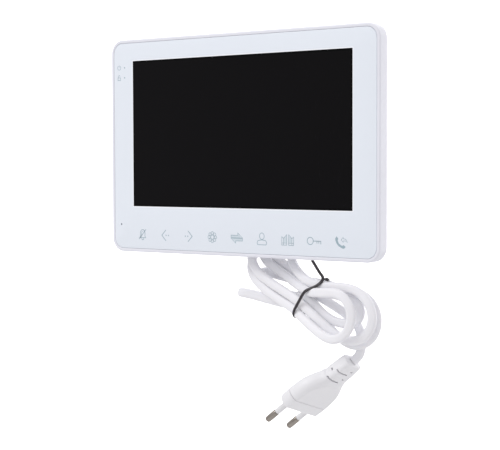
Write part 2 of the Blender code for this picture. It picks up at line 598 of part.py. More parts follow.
# ---- mains lead -----------------------------------------------------------------------------------
def build_gland():
    rubber = material("gland_white_rubber", (0.80, 0.80, 0.82), 0.55)
    inside = HOUSING_WALL + 0.3 * MM
    profile = [(0.0, inside + 4.5 * MM), (5.6 * MM, inside + 4.5 * MM), (5.6 * MM, inside),
               (3.7 * MM, inside), (3.7 * MM, -0.6 * MM), (4.6 * MM, -0.9 * MM), (4.6 * MM, -2.4 * MM),
               (3.4 * MM, -GLAND_DROP), (0.0, -GLAND_DROP)]
    turned("cord_gland", profile, Matrix.Translation((GLAND_X, GLAND_Y, HOUSING_BOTTOM)), rubber)


def build_cord():
    white = material("cord_white_pvc", (0.84, 0.84, 0.86), 0.45)
    hank_white = material("cord_hank_white_pvc", (0.82, 0.82, 0.84), 0.45)
    tail_white = material("cord_tail_white_pvc", (0.84, 0.84, 0.86), 0.45)
    start = Vector((GLAND_X, GLAND_Y, HOUSING_BOTTOM - GLAND_DROP - GAP))
    tube("cord_lead", [start] + [Vector(p) * MM for p in CORD_LEAD], CORD_RADIUS, white)
    build_hank(hank_white)
    end = PLUG_REAR - PLUG_AXIS * GAP
    tail = [Vector(p) * MM for p in CORD_TAIL] + [end - PLUG_AXIS * 2.4 * MM, end]
    tube("cord_tail", tail, CORD_RADIUS, tail_white)


def build_hank(finish):
    """The folded part of the lead: the outline of its loops, waisted where the tie grips it."""
    outline = [(97.0, -103.0), (84.0, -120.0), (60.0, -115.0), (38.8, -101.6), (14.0, -98.0),
               (-12.0, -92.5), (-3.0, -80.0), (9.0, -73.5), (32.0, -76.5), (54.2, -81.2), (78.0, -84.0)]
    data = bpy.data.curves.new("cord_hank", "CURVE")
    data.dimensions = "2D"
    data.fill_mode = "BOTH"
    data.extrude = HANK_THICKNESS / 2
    data.resolution_u = 4
    data.render_resolution_u = 0
    spline = data.splines.new("BEZIER")
    spline.bezier_points.add(len(outline) - 1)
    spline.use_cyclic_u = True
    for point, (x, z) in zip(spline.bezier_points, outline):
        point.co = (x * MM, z * MM, 0.0)
        point.handle_left_type = "AUTO"
        point.handle_right_type = "AUTO"
    data.materials.append(finish)
    obj = bpy.data.objects.new("cord_hank", data)
    PARTS.objects.link(obj)
    obj.location = (0.0, TIE_CENTRE.y, 0.0)
    obj.rotation_euler = (radians(90.0), 0.0, 0.0)


def build_tie():
    """A plastic-covered wire: round the hank once, crossed at the top, with two free ends."""
    black = material("tie_black", (0.02, 0.017, 0.02), 0.5)
    along = Vector((0.8, 0.0, -0.6))
    half_width = 15.8 * MM
    half_depth = HANK_THICKNESS / 2 + 1.8 * MM
    ring = []
    steps = 20
    for i in range(steps + 1):
        angle = radians(58.0) - 2 * pi * i / steps
        across = abs(cos(angle)) ** 0.3 * (1 if cos(angle) > 0 else -1)
        depth = abs(sin(angle)) ** 0.3 * (1 if sin(angle) > 0 else -1)
        shift = along * (i / steps - 0.5) * 3.4 * MM
        ring.append(TIE_CENTRE + TIE_NORMAL * across * half_width
                    - Vector((0.0, 1.0, 0.0)) * depth * half_depth + shift)
    first = ring[0]
    last = ring[-1]
    long_end = [first + Vector((-5.5, -1.5, 8.5)) * MM, first + Vector((-2.5, -1.6, 4.0)) * MM]
    short_end = [last + Vector((2.6, -1.2, 1.5)) * MM]
    tube("twist_tie", long_end + ring + short_end, TIE_RADIUS, black)


def plug_place():
    """The plug's own frame: X from pin to pin, Z the way the pins point, origin on the face."""
    z_axis = PLUG_AXIS
    x_axis = (PLUG_ACROSS - z_axis * PLUG_ACROSS.dot(z_axis)).normalized()
    y_axis = z_axis.cross(x_axis)
    turn = Matrix((x_axis, y_axis, z_axis)).transposed().to_4x4()
    return Matrix.Translation(PLUG_REAR + z_axis * PLUG_LENGTH) @ turn


def loft(name, sections, place, finish):
    """A solid through flattened eight-sided sections: (height, half width, half thickness)."""
    work = bmesh.new()
    rings = []
    for height, half_width, half_thickness in sections:
        corners = ((1.0, 0.42), (0.72, 1.0), (-0.72, 1.0), (-1.0, 0.42),
                   (-1.0, -0.42), (-0.72, -1.0), (0.72, -1.0), (1.0, -0.42))
        rings.append([work.verts.new((half_width * a, half_thickness * b, height)) for a, b in corners])
    count = len(rings[0])
    for lower, upper in zip(rings, rings[1:]):
        for i in range(count):
            j = (i + 1) % count
            work.faces.new((lower[i], lower[j], upper[j], upper[i]))
    work.faces.new(rings[0])
    work.faces.new(list(reversed(rings[-1])))
    bmesh.ops.recalc_face_normals(work, faces=work.faces)
    mesh = bpy.data.meshes.new(name)
    work.to_mesh(mesh)
    work.free()
    obj = add(name, mesh, finish)
    obj.matrix_world = place
    return obj


def build_plug():
    white = material("plug_white", (0.82, 0.82, 0.83), 0.4)
    face_white = material("plug_face_white", (0.80, 0.80, 0.82), 0.4)
    metal = material("pin_nickel", (0.72, 0.66, 0.58), 0.22, 1.0)
    sleeve = material("sleeve_white", (0.80, 0.80, 0.80), 0.4)
    place = plug_place()
    rear = -PLUG_LENGTH
    band = -PLUG_BAND
    wide = PLUG_HALF_WIDTH
    thick = PLUG_HALF_THICKNESS
    loft("plug_body", [(rear, NECK_HALF_WIDTH, NECK_HALF_THICKNESS),
                       (rear + 12.0 * MM, NECK_HALF_WIDTH + 0.8 * MM, NECK_HALF_THICKNESS + 0.4 * MM),
                       (rear + 17.0 * MM, NECK_HALF_WIDTH + 1.8 * MM, NECK_HALF_THICKNESS + 0.8 * MM),
                       (rear + 23.0 * MM, wide - 3.4 * MM, thick - 0.1 * MM),
                       (rear + 30.0 * MM, wide - 0.8 * MM, thick), (band - GAP, wide, thick)],
         place, white)
    front = loft("plug_front", [(band, wide, thick), (0.0, wide - PLUG_EDGE, thick - PLUG_EDGE)],
                 place, face_white)
    for i, side in enumerate((-1, 1), start=1):
        x = side * PIN_SPACING / 2
        hole = rod(f"pin_hole_{i}", (x, 0.0, -PIN_ROOT - 0.4 * MM), (x, 0.0, SLEEVE_LENGTH / 2),
                   PIN_CORE_RADIUS + 0.35 * MM, sides=16)
        hole.matrix_world = place
        cut(front, hole)
        pin_place = place @ Matrix.Translation((x, 0.0, 0.0))
        core = PIN_CORE_RADIUS
        profile = [(0.0, PIN_LENGTH), (PIN_RADIUS * 0.72, PIN_LENGTH - 0.35 * MM),
                   (PIN_RADIUS, PIN_LENGTH - 1.6 * MM), (PIN_RADIUS, SLEEVE_LENGTH + GAP),
                   (core, SLEEVE_LENGTH + GAP), (core, -PIN_ROOT), (0.0, -PIN_ROOT)]
        turned(f"plug_pin_{i}", profile, pin_place, metal)
        outer = PIN_RADIUS * 0.95
        inner = core + 0.25 * MM
        profile = [(outer, SLEEVE_LENGTH), (outer, GAP), (inner, GAP), (inner, SLEEVE_LENGTH),
                   (outer, SLEEVE_LENGTH)]
        turned(f"pin_sleeve_{i}", profile, pin_place, sleeve)


build_bracket()
build_front_frame()
build_glass()
build_display()
build_touch_board()
build_indicators()
build_microphone()
build_rear_housing()
build_boards()
build_supply_parts()
build_ribbon()
build_speaker()
build_headers()
build_switch()
build_screws()
build_gland()
build_cord()
build_tie()
build_plug()
bpy.context.view_layer.update()
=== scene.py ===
# The looks of the video intercom monitor: its casing, printed front glass, tied mains lead and plug.
# Metres, in the CAD frame: +X is to the viewer's right, +Y goes into the wall, and +Z is up.
from math import cos, pi, radians, sin

import bmesh
import bpy
import numpy as np
from mathutils import Matrix, Vector


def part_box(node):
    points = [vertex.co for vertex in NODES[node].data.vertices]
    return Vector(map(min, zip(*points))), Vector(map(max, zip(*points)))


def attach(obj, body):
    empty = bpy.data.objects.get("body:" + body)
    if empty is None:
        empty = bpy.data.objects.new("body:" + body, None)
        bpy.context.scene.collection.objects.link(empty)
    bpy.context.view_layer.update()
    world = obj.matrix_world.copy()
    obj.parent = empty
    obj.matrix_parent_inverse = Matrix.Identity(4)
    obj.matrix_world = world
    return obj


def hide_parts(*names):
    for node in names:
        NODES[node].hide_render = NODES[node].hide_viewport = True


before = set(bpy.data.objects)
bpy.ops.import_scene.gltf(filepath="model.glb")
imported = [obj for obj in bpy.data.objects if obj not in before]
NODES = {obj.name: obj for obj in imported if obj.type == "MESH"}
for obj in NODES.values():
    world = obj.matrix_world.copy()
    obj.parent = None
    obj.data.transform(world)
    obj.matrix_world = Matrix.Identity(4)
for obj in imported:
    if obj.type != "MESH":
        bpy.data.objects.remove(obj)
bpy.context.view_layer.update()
MM = 0.001


# ---- camera, floor and lights ----
def aimed(place, azimuth, down, roll):
    """A camera or light matrix: azimuth turns from +Y towards -X, and down tips below the horizon."""
    forward = Vector((-sin(azimuth) * cos(down), cos(azimuth) * cos(down), -sin(down)))
    level = Vector((cos(azimuth), sin(azimuth), 0.0))
    above = level.cross(forward)
    right = level * cos(roll) + above * sin(roll)
    up = above * cos(roll) - level * sin(roll)
    turn = Matrix((right, up, -forward)).transposed().to_4x4()
    return Matrix.Translation(place) @ turn


def make_camera():
    lens = bpy.data.cameras.new("camera")
    lens.lens = 98.0
    lens.sensor_width = 36.0
    lens.clip_start = 0.05
    camera = bpy.data.objects.new("camera", lens)
    bpy.context.scene.collection.objects.link(camera)
    camera.matrix_world = aimed((0.5036, -0.6949, -0.0105), radians(36.37), radians(2.66), radians(-0.17))
    bpy.context.scene.camera = camera


def area_light(name, place, target, size, power, colour):
    light = bpy.data.lights.new(name, "AREA")
    light.shape = "DISK"
    light.size = size
    light.energy = power
    light.color = colour
    lamp = bpy.data.objects.new(name, light)
    bpy.context.scene.collection.objects.link(lamp)
    lamp.location = place
    lamp.rotation_euler = (Vector(target) - Vector(place)).to_track_quat("-Z", "Y").to_euler()


def make_stage():
    """A white sweep behind and below, a pale sky all round and two soft lamps."""
    floor_z = -0.76
    wall_y = 2.6
    bend = 0.9
    profile = [(-4.0, floor_z), (wall_y - bend, floor_z)]
    for angle in angles(0, 90, 12)[1:]:
        profile.append((wall_y - bend + bend * sin(angle), floor_z + bend * (1 - cos(angle))))
    profile.append((wall_y, 3.2))
    work = bmesh.new()
    rows = [[work.verts.new((x, y, z)) for x in (-4.0, 4.0)] for y, z in profile]
    for i, (low, high) in enumerate(zip(rows, rows[1:])):
        face = work.faces.new((low[0], low[1], high[1], high[0]))
        face.material_index = 0 if i == 0 else 1
    sweep = link_mesh("floor_sweep", work)
    pale = Shade("floor_pale", roughness=0.9, specular=0.1)
    pale.paint((0.80, 0.80, 0.80), 0.01, 3.0)
    glow = Shade("backdrop_white", roughness=0.9, specular=0.1)
    glow.paint((0.94, 0.94, 0.94), 0.01, 3.0)
    glow.shader.inputs["Emission Color"].default_value = (1.0, 1.0, 1.0, 1.0)
    glow.shader.inputs["Emission Strength"].default_value = 0.80
    sweep.data.materials.append(pale.material)
    sweep.data.materials.append(glow.material)
    world = bpy.data.worlds.new("studio")
    world.use_nodes = True
    background = world.node_tree.nodes["Background"]
    background.inputs["Color"].default_value = (0.985, 0.970, 0.985, 1.0)
    background.inputs["Strength"].default_value = 0.77
    bpy.context.scene.world = world
    area_light("key", (-1.15, -1.55, 1.6), (0.0, 0.0, -0.03), 1.2, 18.5, (1.0, 0.995, 0.985))
    area_light("top", (0.2, -0.5, 1.5), (0.0, 0.0, 0.0), 1.2, 3.0, (1.0, 1.0, 1.0))
    bpy.context.scene.view_settings.view_transform = "Standard"


# ---- materials ----
def srgb(red, green, blue):
    """A colour as a picture shows it, 0 to 255, turned into the linear values that shaders take."""
    values = [channel / 255 for channel in (red, green, blue)]
    return tuple(v / 12.92 if v <= 0.04045 else ((v + 0.055) / 1.055) ** 2.4 for v in values)


class Shade:
    """A Principled material whose colour, roughness and bump come from procedural nodes."""

    def __init__(self, name, roughness=0.4, metallic=0.0, specular=0.5, coat=0.0, coat_roughness=0.05,
                 transmission=0.0, subsurface=0.0):
        self.material = bpy.data.materials.new(name)
        self.material.use_nodes = True
        self.tree = self.material.node_tree
        self.shader = self.tree.nodes["Principled BSDF"]
        constants = {"Roughness": roughness, "Metallic": metallic, "Specular IOR Level": specular,
                     "Coat Weight": coat, "Coat Roughness": coat_roughness,
                     "Transmission Weight": transmission, "Subsurface Weight": subsurface}
        for socket, value in constants.items():
            self.shader.inputs[socket].default_value = value
        self.shader.inputs["Subsurface Radius"].default_value = (1.0, 0.9, 0.8)
        self.shader.inputs["Subsurface Scale"].default_value = 0.0015
        self.coordinates = self.tree.nodes.new("ShaderNodeTexCoord")
        self.normal = None

    def node(self, kind, values, **links):
        """A new node of this kind, with its input values and the outputs linked into it."""
        made = self.tree.nodes.new("ShaderNode" + kind)
        for socket, value in values.items():
            made.inputs[socket].default_value = value
        for socket, source in links.items():
            self.tree.links.new(source, made.inputs[socket])
        return made

    def place(self, stretch=(1.0, 1.0, 1.0), turn=(0.0, 0.0, 0.0)):
        mapping = self.node("Mapping", {"Scale": stretch, "Rotation": turn},
                            Vector=self.coordinates.outputs["Object"])
        return mapping.outputs["Vector"]

    def noise(self, scale, detail, stretch=(1.0, 1.0, 1.0)):
        """Noise with features about 1/scale metres wide."""
        texture = self.node("TexNoise", {"Scale": scale, "Detail": detail}, Vector=self.place(stretch))
        return texture.outputs["Fac"]

    def cells(self, scale):
        return self.node("TexVoronoi", {"Scale": scale}, Vector=self.place()).outputs["Distance"]

    def colour_from(self, colour):
        self.tree.links.new(colour, self.shader.inputs["Base Color"])

    def paint(self, colour, spread, scale, detail=2.0):
        """The base colour, drifting by spread either way over patches of about 1/scale metres."""
        made = self.node("ValToRGB", {}, Fac=self.noise(scale, detail))
        for element, place, share in zip(made.color_ramp.elements, (0.3, 0.7), (1 - spread, 1 + spread)):
            element.position = place
            element.color = (*(min(1.0, c * share) for c in colour), 1.0)
        self.colour_from(made.outputs["Color"])

    def gloss(self, low, high, scale, detail=2.0, stretch=(1.0, 1.0, 1.0)):
        """Roughness that drifts from low to high."""
        made = self.node("MapRange", {"From Min": 0.3, "From Max": 0.7, "To Min": low, "To Max": high},
                         Value=self.noise(scale, detail, stretch))
        self.tree.links.new(made.outputs["Result"], self.shader.inputs["Roughness"])

    def relief(self, height, depth, strength=1.0):
        """Bump of the given depth in metres, laid over any bump made before it."""
        made = self.node("Bump", {"Strength": strength, "Distance": depth}, Height=height)
        if self.normal:
            self.tree.links.new(self.normal, made.inputs["Normal"])
        self.normal = made.outputs["Normal"]
        self.tree.links.new(self.normal, self.shader.inputs["Normal"])


def moulded(name, colour, low, high, grain=2600.0, depth=0.008 * MM, spread=0.015, **more):
    """Injection-moulded plastic: a fine spark-eroded grain and a faint drift in colour and gloss."""
    made = Shade(name, **more)
    made.paint(colour, spread, 28.0)
    made.gloss(low, high, 60.0)
    made.relief(made.noise(180.0, 1.0), 0.02 * MM, 0.4)
    made.relief(made.noise(grain, 2.0), depth)
    return made.material


def rubbery(name, colour, low=0.5, high=0.7):
    made = Shade(name, specular=0.35)
    made.paint(colour, 0.05, 90.0, 3.0)
    made.gloss(low, high, 140.0)
    made.relief(made.noise(1500.0, 3.0), 0.02 * MM)
    return made.material


def plated(name, colour, low, high, stretch=(1.0, 1.0, 1.0)):
    """Plated metal: crystalline patches under fine rolling or turning lines."""
    made = Shade(name, metallic=1.0)
    made.paint(colour, 0.10, 160.0, 4.0)
    made.gloss(low, high, 500.0, 3.0, stretch)
    made.relief(made.noise(900.0, 2.0, stretch), 0.012 * MM)
    return made.material


def board_mask(name, dark, light, copper):
    """Solder mask over copper tracks, with the tracks showing as lighter bands."""
    made = Shade(name, coat=0.3)
    tracks = made.node("TexBrick", {"Scale": 110.0, "Color1": (*dark, 1.0), "Color2": (*light, 1.0),
                                    "Mortar": (*copper, 1.0), "Mortar Size": 0.035},
                       Vector=made.place(turn=(radians(90.0), 0.0, 0.0)))
    made.colour_from(tracks.outputs["Color"])
    made.gloss(0.32, 0.5, 300.0)
    made.relief(tracks.outputs["Fac"], 0.03 * MM)
    return made.material


def coated(name, colour, paint, gloss, **more):
    """A smooth surface: paint is the colour's drift and scale, and gloss the roughness and its scale."""
    made = Shade(name, **more)
    made.paint(colour, *paint)
    made.gloss(*gloss)
    return made


def make_materials():
    """Every finish, by the piece it is for."""
    finish = {
        "frame": moulded("frame_plastic", srgb(228, 229, 237), 0.30, 0.38),
        "housing": moulded("housing_plastic", srgb(222, 223, 228), 0.42, 0.55, 1600.0, 0.03 * MM),
        "plug": moulded("plug_plastic", srgb(233, 233, 236), 0.34, 0.44, 2200.0, 0.006 * MM),
        "sleeve": moulded("sleeve_plastic", srgb(226, 226, 228), 0.38, 0.46),
        "header": moulded("header_nylon", srgb(222, 218, 205), 0.45, 0.55),
        "switch": moulded("switch_black", srgb(26, 26, 27), 0.40, 0.52),
        "speaker": moulded("speaker_black", srgb(30, 30, 31), 0.55, 0.7, 900.0, 0.05 * MM),
        "pipe": moulded("light_pipe", srgb(222, 232, 236), 0.12, 0.2, transmission=0.5),
        "ribbon": moulded("ribbon_plastic", srgb(228, 228, 222), 0.35, 0.5),
        "tape": moulded("transformer_tape", srgb(215, 178, 62), 0.35, 0.5, 700.0, 0.04 * MM),
        "capacitor": moulded("capacitor_sleeve", srgb(24, 34, 66), 0.25, 0.35),
        "fuse": moulded("fuse_glass", srgb(222, 226, 226), 0.08, 0.14, transmission=0.6),
        "gland": rubbery("gland_rubber", srgb(226, 226, 230)),
        "boot": rubbery("microphone_rubber", srgb(38, 38, 38)),
        "foam": rubbery("foam", srgb(28, 28, 28), 0.85, 0.95),
        "steel": plated("bracket_steel", (0.60, 0.61, 0.63), 0.28, 0.46, (1.0, 1.0, 0.05)),
        "screw": plated("screw_zinc", (0.62, 0.62, 0.64), 0.22, 0.38),
        "can": plated("microphone_can", (0.66, 0.66, 0.66), 0.25, 0.4),
        "pin": plated("pin_nickel", (0.34, 0.31, 0.28), 0.10, 0.20),
        "green": board_mask("board_green", (0.006, 0.09, 0.035), (0.008, 0.11, 0.04), (0.03, 0.22, 0.08)),
        "tan": board_mask("board_tan", (0.30, 0.19, 0.07), (0.33, 0.21, 0.08), (0.52, 0.36, 0.15)),
    }
    cord = coated("cord_pvc", srgb(237, 237, 241), (0.012, 45.0, 3.0), (0.34, 0.46, 130.0),
                  specular=0.45, subsurface=0.06)
    cord.relief(cord.noise(90.0, 1.0), 0.03 * MM, 0.5)
    cord.relief(cord.noise(1900.0, 2.0), 0.006 * MM)
    tie = coated("tie_black", srgb(44, 39, 43), (0.12, 220.0, 3.0), (0.30, 0.45, 300.0))
    tie.relief(tie.noise(1300.0, 2.0), 0.02 * MM)
    glass = coated("front_glass", srgb(229, 235, 243), (0.006, 9.0), (0.16, 0.22, 40.0),
                   coat=0.35, coat_roughness=0.03)
    glass.relief(glass.noise(30.0, 1.0), 0.01 * MM, 0.3)
    screen = coated("screen_off", srgb(8, 7, 9), (0.05, 8.0), (0.12, 0.2, 50.0), specular=0.08)
    screen.relief(screen.cells(5200.0), 0.004 * MM, 0.5)
    keyline = coated("window_keyline", srgb(246, 249, 253), (0.004, 12.0), (0.16, 0.22, 40.0),
                     coat=0.3, coat_roughness=0.03)
    # The mask is painted shadow: a band darker than the dead screen, along the edge of the black window.
    mask = coated("window_edge_shadow", srgb(5, 5, 6), (0.05, 20.0), (0.10, 0.16, 50.0), specular=0.06)
    display = coated("display_black", srgb(22, 22, 25), (0.08, 60.0), (0.2, 0.35, 90.0), specular=0.3)
    ink = coated("key_ink", srgb(156, 177, 187), (0.03, 260.0, 3.0), (0.3, 0.4, 200.0), coat=0.2)
    pale = coated("key_ink_pale", srgb(205, 216, 224), (0.02, 260.0, 3.0), (0.3, 0.4, 200.0), coat=0.2)
    shades = {"cord": cord, "tie": tie, "glass": glass, "screen": screen, "keyline": keyline,
              "mask": mask, "display": display, "ink": ink, "pale": pale}
    return finish | {name: made.material for name, made in shades.items()}


# ---- building blocks ----
def angles(start, stop, steps):
    """The angles from start to stop, both in degrees, in that many steps."""
    return [radians(start + (stop - start) * i / steps) for i in range(steps + 1)]


def into_wall(x, y, z):
    """A place there, with its local Z axis pointing into the wall."""
    return Matrix.Translation((x, y, z)) @ Matrix.Rotation(radians(-90), 4, "X")


def link_mesh(name, work, smooth_angle=None):
    """Turns a bmesh into a linked object and frees it."""
    bmesh.ops.recalc_face_normals(work, faces=work.faces)
    mesh = bpy.data.meshes.new(name)
    work.to_mesh(mesh)
    work.free()
    made = bpy.data.objects.new(name, mesh)
    bpy.context.scene.collection.objects.link(made)
    if smooth_angle is not None:
        mesh.shade_smooth()
        mesh.set_sharp_from_angle(angle=radians(smooth_angle))
    return made


def dress(piece, *finishes, body="monitor", slot=None, stands_for=()):
    """Gives a piece its materials and its body, and hides the CAD nodes it stands for; its record slot is not
    used.
    """
    for material in finishes:
        piece.data.materials.append(material)
    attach(piece, body)
    if stands_for:
        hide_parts(*stands_for)


def outline(half_width, bottom, top, radius, segments=10):
    """A rounded rectangle in the XZ plane, anticlockwise as seen from the front."""
    corners = [(half_width - radius, top - radius, 0), (radius - half_width, top - radius, 90),
               (radius - half_width, bottom + radius, 180), (half_width - radius, bottom + radius, 270)]
    points = []
    for x, z, start in corners:
        for angle in angles(start, start + 90, segments):
            points.append((x + radius * cos(angle), z + radius * sin(angle)))
    return points


def skin(work, loops, closed=False, material=0):
    """Quads between successive loops of vertices; closed joins the last loop to the first."""
    pairs = list(zip(loops, loops[1:]))
    if closed:
        pairs.append((loops[-1], loops[0]))
    for low, high in pairs:
        count = len(low)
        for i in range(count):
            j = (i + 1) % count
            face = work.faces.new((low[i], low[j], high[j], high[i]))
            face.material_index = material


def capped(work, loops):
    """A closed solid: the skin of the loops, and a face over each end."""
    skin(work, loops)
    work.faces.new(loops[0])
    work.faces.new(list(reversed(loops[-1])))


def turned(work, profile, place, sides=48, closed=False):
    """Revolves (radius, height) points about the local Z axis of place."""
    way_round = [2 * pi * i / sides for i in range(sides)]
    loops = [[work.verts.new(place @ Vector((radius * cos(angle), radius * sin(angle), height)))
              for angle in way_round] for radius, height in profile]
    if closed:
        skin(work, loops, closed=True)
    else:
        capped(work, loops)


def cut_out(piece, tools):
    """Cuts the tools out of a piece for good, and removes them."""
    for tool in tools:
        cut = piece.modifiers.new(tool.name, "BOOLEAN")
        cut.object = tool
        cut.operation = "DIFFERENCE"
    bpy.context.view_layer.update()
    solid = bpy.data.meshes.new_from_object(piece.evaluated_get(bpy.context.evaluated_depsgraph_get()))
    piece.modifiers.clear()
    piece.data = solid
    for tool in tools:
        bpy.data.objects.remove(tool)


def middle_of(node):
    low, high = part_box(node)
    return (low + high) / 2


def bevelled(name, width):
    """Rounds the sharp edges of a CAD node that is shown as it is."""
    rounding = NODES[name].modifiers.new("rounded_edges", "BEVEL")
    rounding.width = width
    rounding.segments = 2
    rounding.limit_method = "ANGLE"
    rounding.angle_limit = radians(35.0)
    rounding.harden_normals = True


# ---- front frame and glass ----
def make_frame(finish):
    """The moulded front frame: rounded front lip, side wall, the ledge the glass lies on, and bosses."""
    low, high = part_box("front_frame")
    half_width = high.x
    wall = 2.2 * MM
    ledge = 4.0 * MM
    corner = 9.0 * MM
    front = low.y
    rear = high.y
    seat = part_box("front_glass")[1].y + 0.1 * MM
    lip = 0.8 * MM
    profile = [(0.25 * MM, rear), (0.0, rear - 0.25 * MM)]
    for angle in angles(0, 90, 6):
        profile.append((lip - lip * cos(angle), front + lip - lip * sin(angle)))
    edge = 0.45 * MM
    for angle in angles(0, 90, 4):
        profile.append((wall - edge + edge * sin(angle), front + edge - edge * cos(angle)))
    profile += [(wall, seat), (wall + ledge, seat), (wall + ledge, seat + 1.2 * MM),
                (wall, seat + 1.2 * MM), (wall, rear - 0.2 * MM), (wall - 0.2 * MM, rear)]
    work = bmesh.new()
    loops = []
    for inset, y in profile:
        points = outline(half_width - inset, low.z + inset, high.z - inset, max(corner - inset, 2.6 * MM), 14)
        loops.append([work.verts.new((x, y, z)) for x, z in points])
    skin(work, loops, closed=True)
    for i in range(1, 5):
        middle = middle_of(f"housing_screw_{i}")
        tall = 3.0 * MM
        turned(work, [(3.1 * MM, 0.0), (3.1 * MM, tall), (1.6 * MM, tall), (1.6 * MM, 0.0)],
               into_wall(middle.x, seat + 1.0 * MM, middle.z), 32, closed=True)
    piece = link_mesh("front_frame_shell", work, 30)
    dress(piece, finish["frame"], slot="frame_plastic", stands_for=["front_frame"])


def make_glass(finish):
    """The printed front glass: white border, black window, and a darker band of painted shadow along the
    window's edge, round the dead screen.
    """
    low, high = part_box("front_glass")
    grow = Vector((0.2, 0.0, 0.2)) * MM         # the sheet fills its frame but for a hair line
    low, high = low - grow, high + grow
    half_width = high.x
    corner = 6.8 * MM
    edge = 0.35 * MM
    display_low, display_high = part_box("lcd_module")
    window_z = (display_low.z + display_high.z) / 2
    window = (84.0 * MM, 47.1 * MM)
    # The band between the window's edge and the screen is painted shadow, darker than the screen.
    screen = (82.6 * MM, 45.7 * MM)
    keyline = 0.55 * MM
    work = bmesh.new()

    def loop(inset, y):
        points = outline(half_width - inset, low.z + inset, high.z - inset, corner - inset)
        return [work.verts.new((x, y, z)) for x, z in points]

    def pane(half, y, spread=0.0):
        sharp = 0.12 * MM
        points = outline(half[0] + spread, window_z - half[1] - spread, window_z + half[1] + spread, sharp)
        return [work.verts.new((x, y, z)) for x, z in points]

    rear = loop(edge, high.y)
    sides = [rear, loop(0.0, high.y - edge)]
    for angle in angles(0, 90, 4):
        sides.append(loop(edge - edge * cos(angle), low.y + edge - edge * sin(angle)))
    skin(work, sides)
    work.faces.new(rear)
    frame_loop = pane(window, low.y, keyline)
    window_edge_loop = pane(window, low.y)
    screen_loop = pane(screen, low.y)
    skin(work, [sides[-1], frame_loop], material=0)
    skin(work, [frame_loop, window_edge_loop], material=1)
    # Painted shadow: a darker band just inside the window's edge.
    skin(work, [window_edge_loop, screen_loop], material=2)
    middle = work.faces.new(screen_loop)
    middle.material_index = 3
    piece = link_mesh("front_glass_panel", work, 30)
    pinhole = bmesh.new()
    centre = middle_of("microphone")
    turned(pinhole, [(0.6 * MM, 0.0), (0.6 * MM, 4.0 * MM)], into_wall(centre.x, low.y - MM, centre.z), 24)
    drill = link_mesh("drill", pinhole)
    # The mask layer is the painted shadow along the window's edge.
    for layer in ("glass", "keyline", "mask", "screen"):
        piece.data.materials.append(finish[layer])
    cut_out(piece, [drill])
    dress(piece, slot="front_glass", stands_for=["front_glass"])


# ---- printed symbols ----
INK_WIDTH = 0.42 * MM
INK_HEIGHT = 0.03 * MM


def arc(x, z, radius_x, radius_z, start, stop, steps=20):
    """Points along an ellipse, in millimetres, with the angles in degrees."""
    return [(x + radius_x * cos(angle), z + radius_z * sin(angle)) for angle in angles(start, stop, steps)]


def stroke(work, points, width=INK_WIDTH, closed=False):
    """A flat ribbon along points given in millimetres, mitred at its corners."""
    path = [Vector((x * MM, z * MM)) for x, z in points]
    count = len(path)
    sides = []
    for i, here in enumerate(path):
        before = path[i - 1] if closed or i > 0 else None
        after = path[(i + 1) % count] if closed or i < count - 1 else None
        back = (here - before).normalized() if before else (after - here).normalized()
        ahead = (after - here).normalized() if after else back
        way = (back + ahead).normalized() if (back + ahead).length > 0.01 else back
        normal = Vector((-way.y, way.x))
        reach = width / 2 / max(0.5, normal.dot(Vector((-ahead.y, ahead.x))))
        end = way * width / 2 if not after else (-way * width / 2 if not before else Vector((0.0, 0.0)))
        sides.append((here + end + normal * reach, here + end - normal * reach))
    slab(work, sides, closed)


def slab(work, sides, closed=False):
    """A thin closed solid over pairs of outline points, standing INK_HEIGHT proud of y = 0."""
    loops = [[work.verts.new((end.x, y, end.y)) for end, y in
              ((left, 0.0), (right, 0.0), (right, -INK_HEIGHT), (left, -INK_HEIGHT))] for left, right in sides]
    if closed:
        skin(work, loops, closed=True)
    else:
        capped(work, loops)


def blot(work, points):
    """A filled shape with its outline in millimetres."""
    rear = [work.verts.new((x * MM, 0.0, z * MM)) for x, z in points]
    front = [work.verts.new((x * MM, -INK_HEIGHT, z * MM)) for x, z in points]
    capped(work, [rear, front])


def mirrored(points):
    return [(-x, z) for x, z in points]


def draw_muted_bell(ink, pale):
    stroke(ink, [(-2.5, -2.0), (-1.9, -1.1)] + arc(0.0, 1.1, 1.9, 2.1, 180, 0) + [(1.9, -1.1), (2.5, -2.0)],
           closed=True)
    stroke(ink, arc(0.0, -2.4, 0.9, 1.0, 180, 360, 10))
    stroke(ink, [(-2.9, -2.8), (2.6, 3.2)], 0.5 * MM)
    stroke(ink, [(-1.2, -1.3), (-0.9, 1.6), (0.2, 2.2)], 0.3 * MM)


def draw_back_arrow(ink, pale):
    stroke(ink, [(0.3, 3.3), (-2.9, 0.0), (0.3, -3.3)], 0.5 * MM)
    for x in (0.6, 2.6):
        blot(ink, arc(x, 0.0, 0.42, 0.42, 0, 330, 11))


def draw_next_arrow(ink, pale):
    stroke(ink, mirrored([(0.3, 3.3), (-2.9, 0.0), (0.3, -3.3)]), 0.5 * MM)
    for x in (-0.6, -2.6):
        blot(ink, arc(x, 0.0, 0.42, 0.42, 0, 330, 11))


def draw_settings(ink, pale):
    for i in range(8):
        angle = 2 * pi * i / 8
        petal = arc(2.55 * cos(angle), 2.55 * sin(angle), 0.92, 0.92, 0, 345, 15)
        stroke(ink, petal, 0.34 * MM, closed=True)
    stroke(ink, arc(0.0, 0.0, 1.25, 1.25, 0, 345, 23), 0.34 * MM, closed=True)


def draw_transfer(ink, pale):
    upper = [(-4.4, 0.2), (-4.4, 1.7), (0.8, 1.7), (0.8, 3.2), (4.4, 0.2)]
    stroke(ink, upper, 0.36 * MM, closed=True)
    stroke(ink, [(-x, -z) for x, z in upper], 0.36 * MM, closed=True)
    blot(pale, [(-4.1, 0.3), (-4.1, 1.5), (1.0, 1.5), (1.0, 2.6), (3.6, 0.3)])
    blot(pale, [(4.1, -0.3), (4.1, -1.5), (-1.0, -1.5), (-1.0, -2.6), (-3.6, -0.3)])


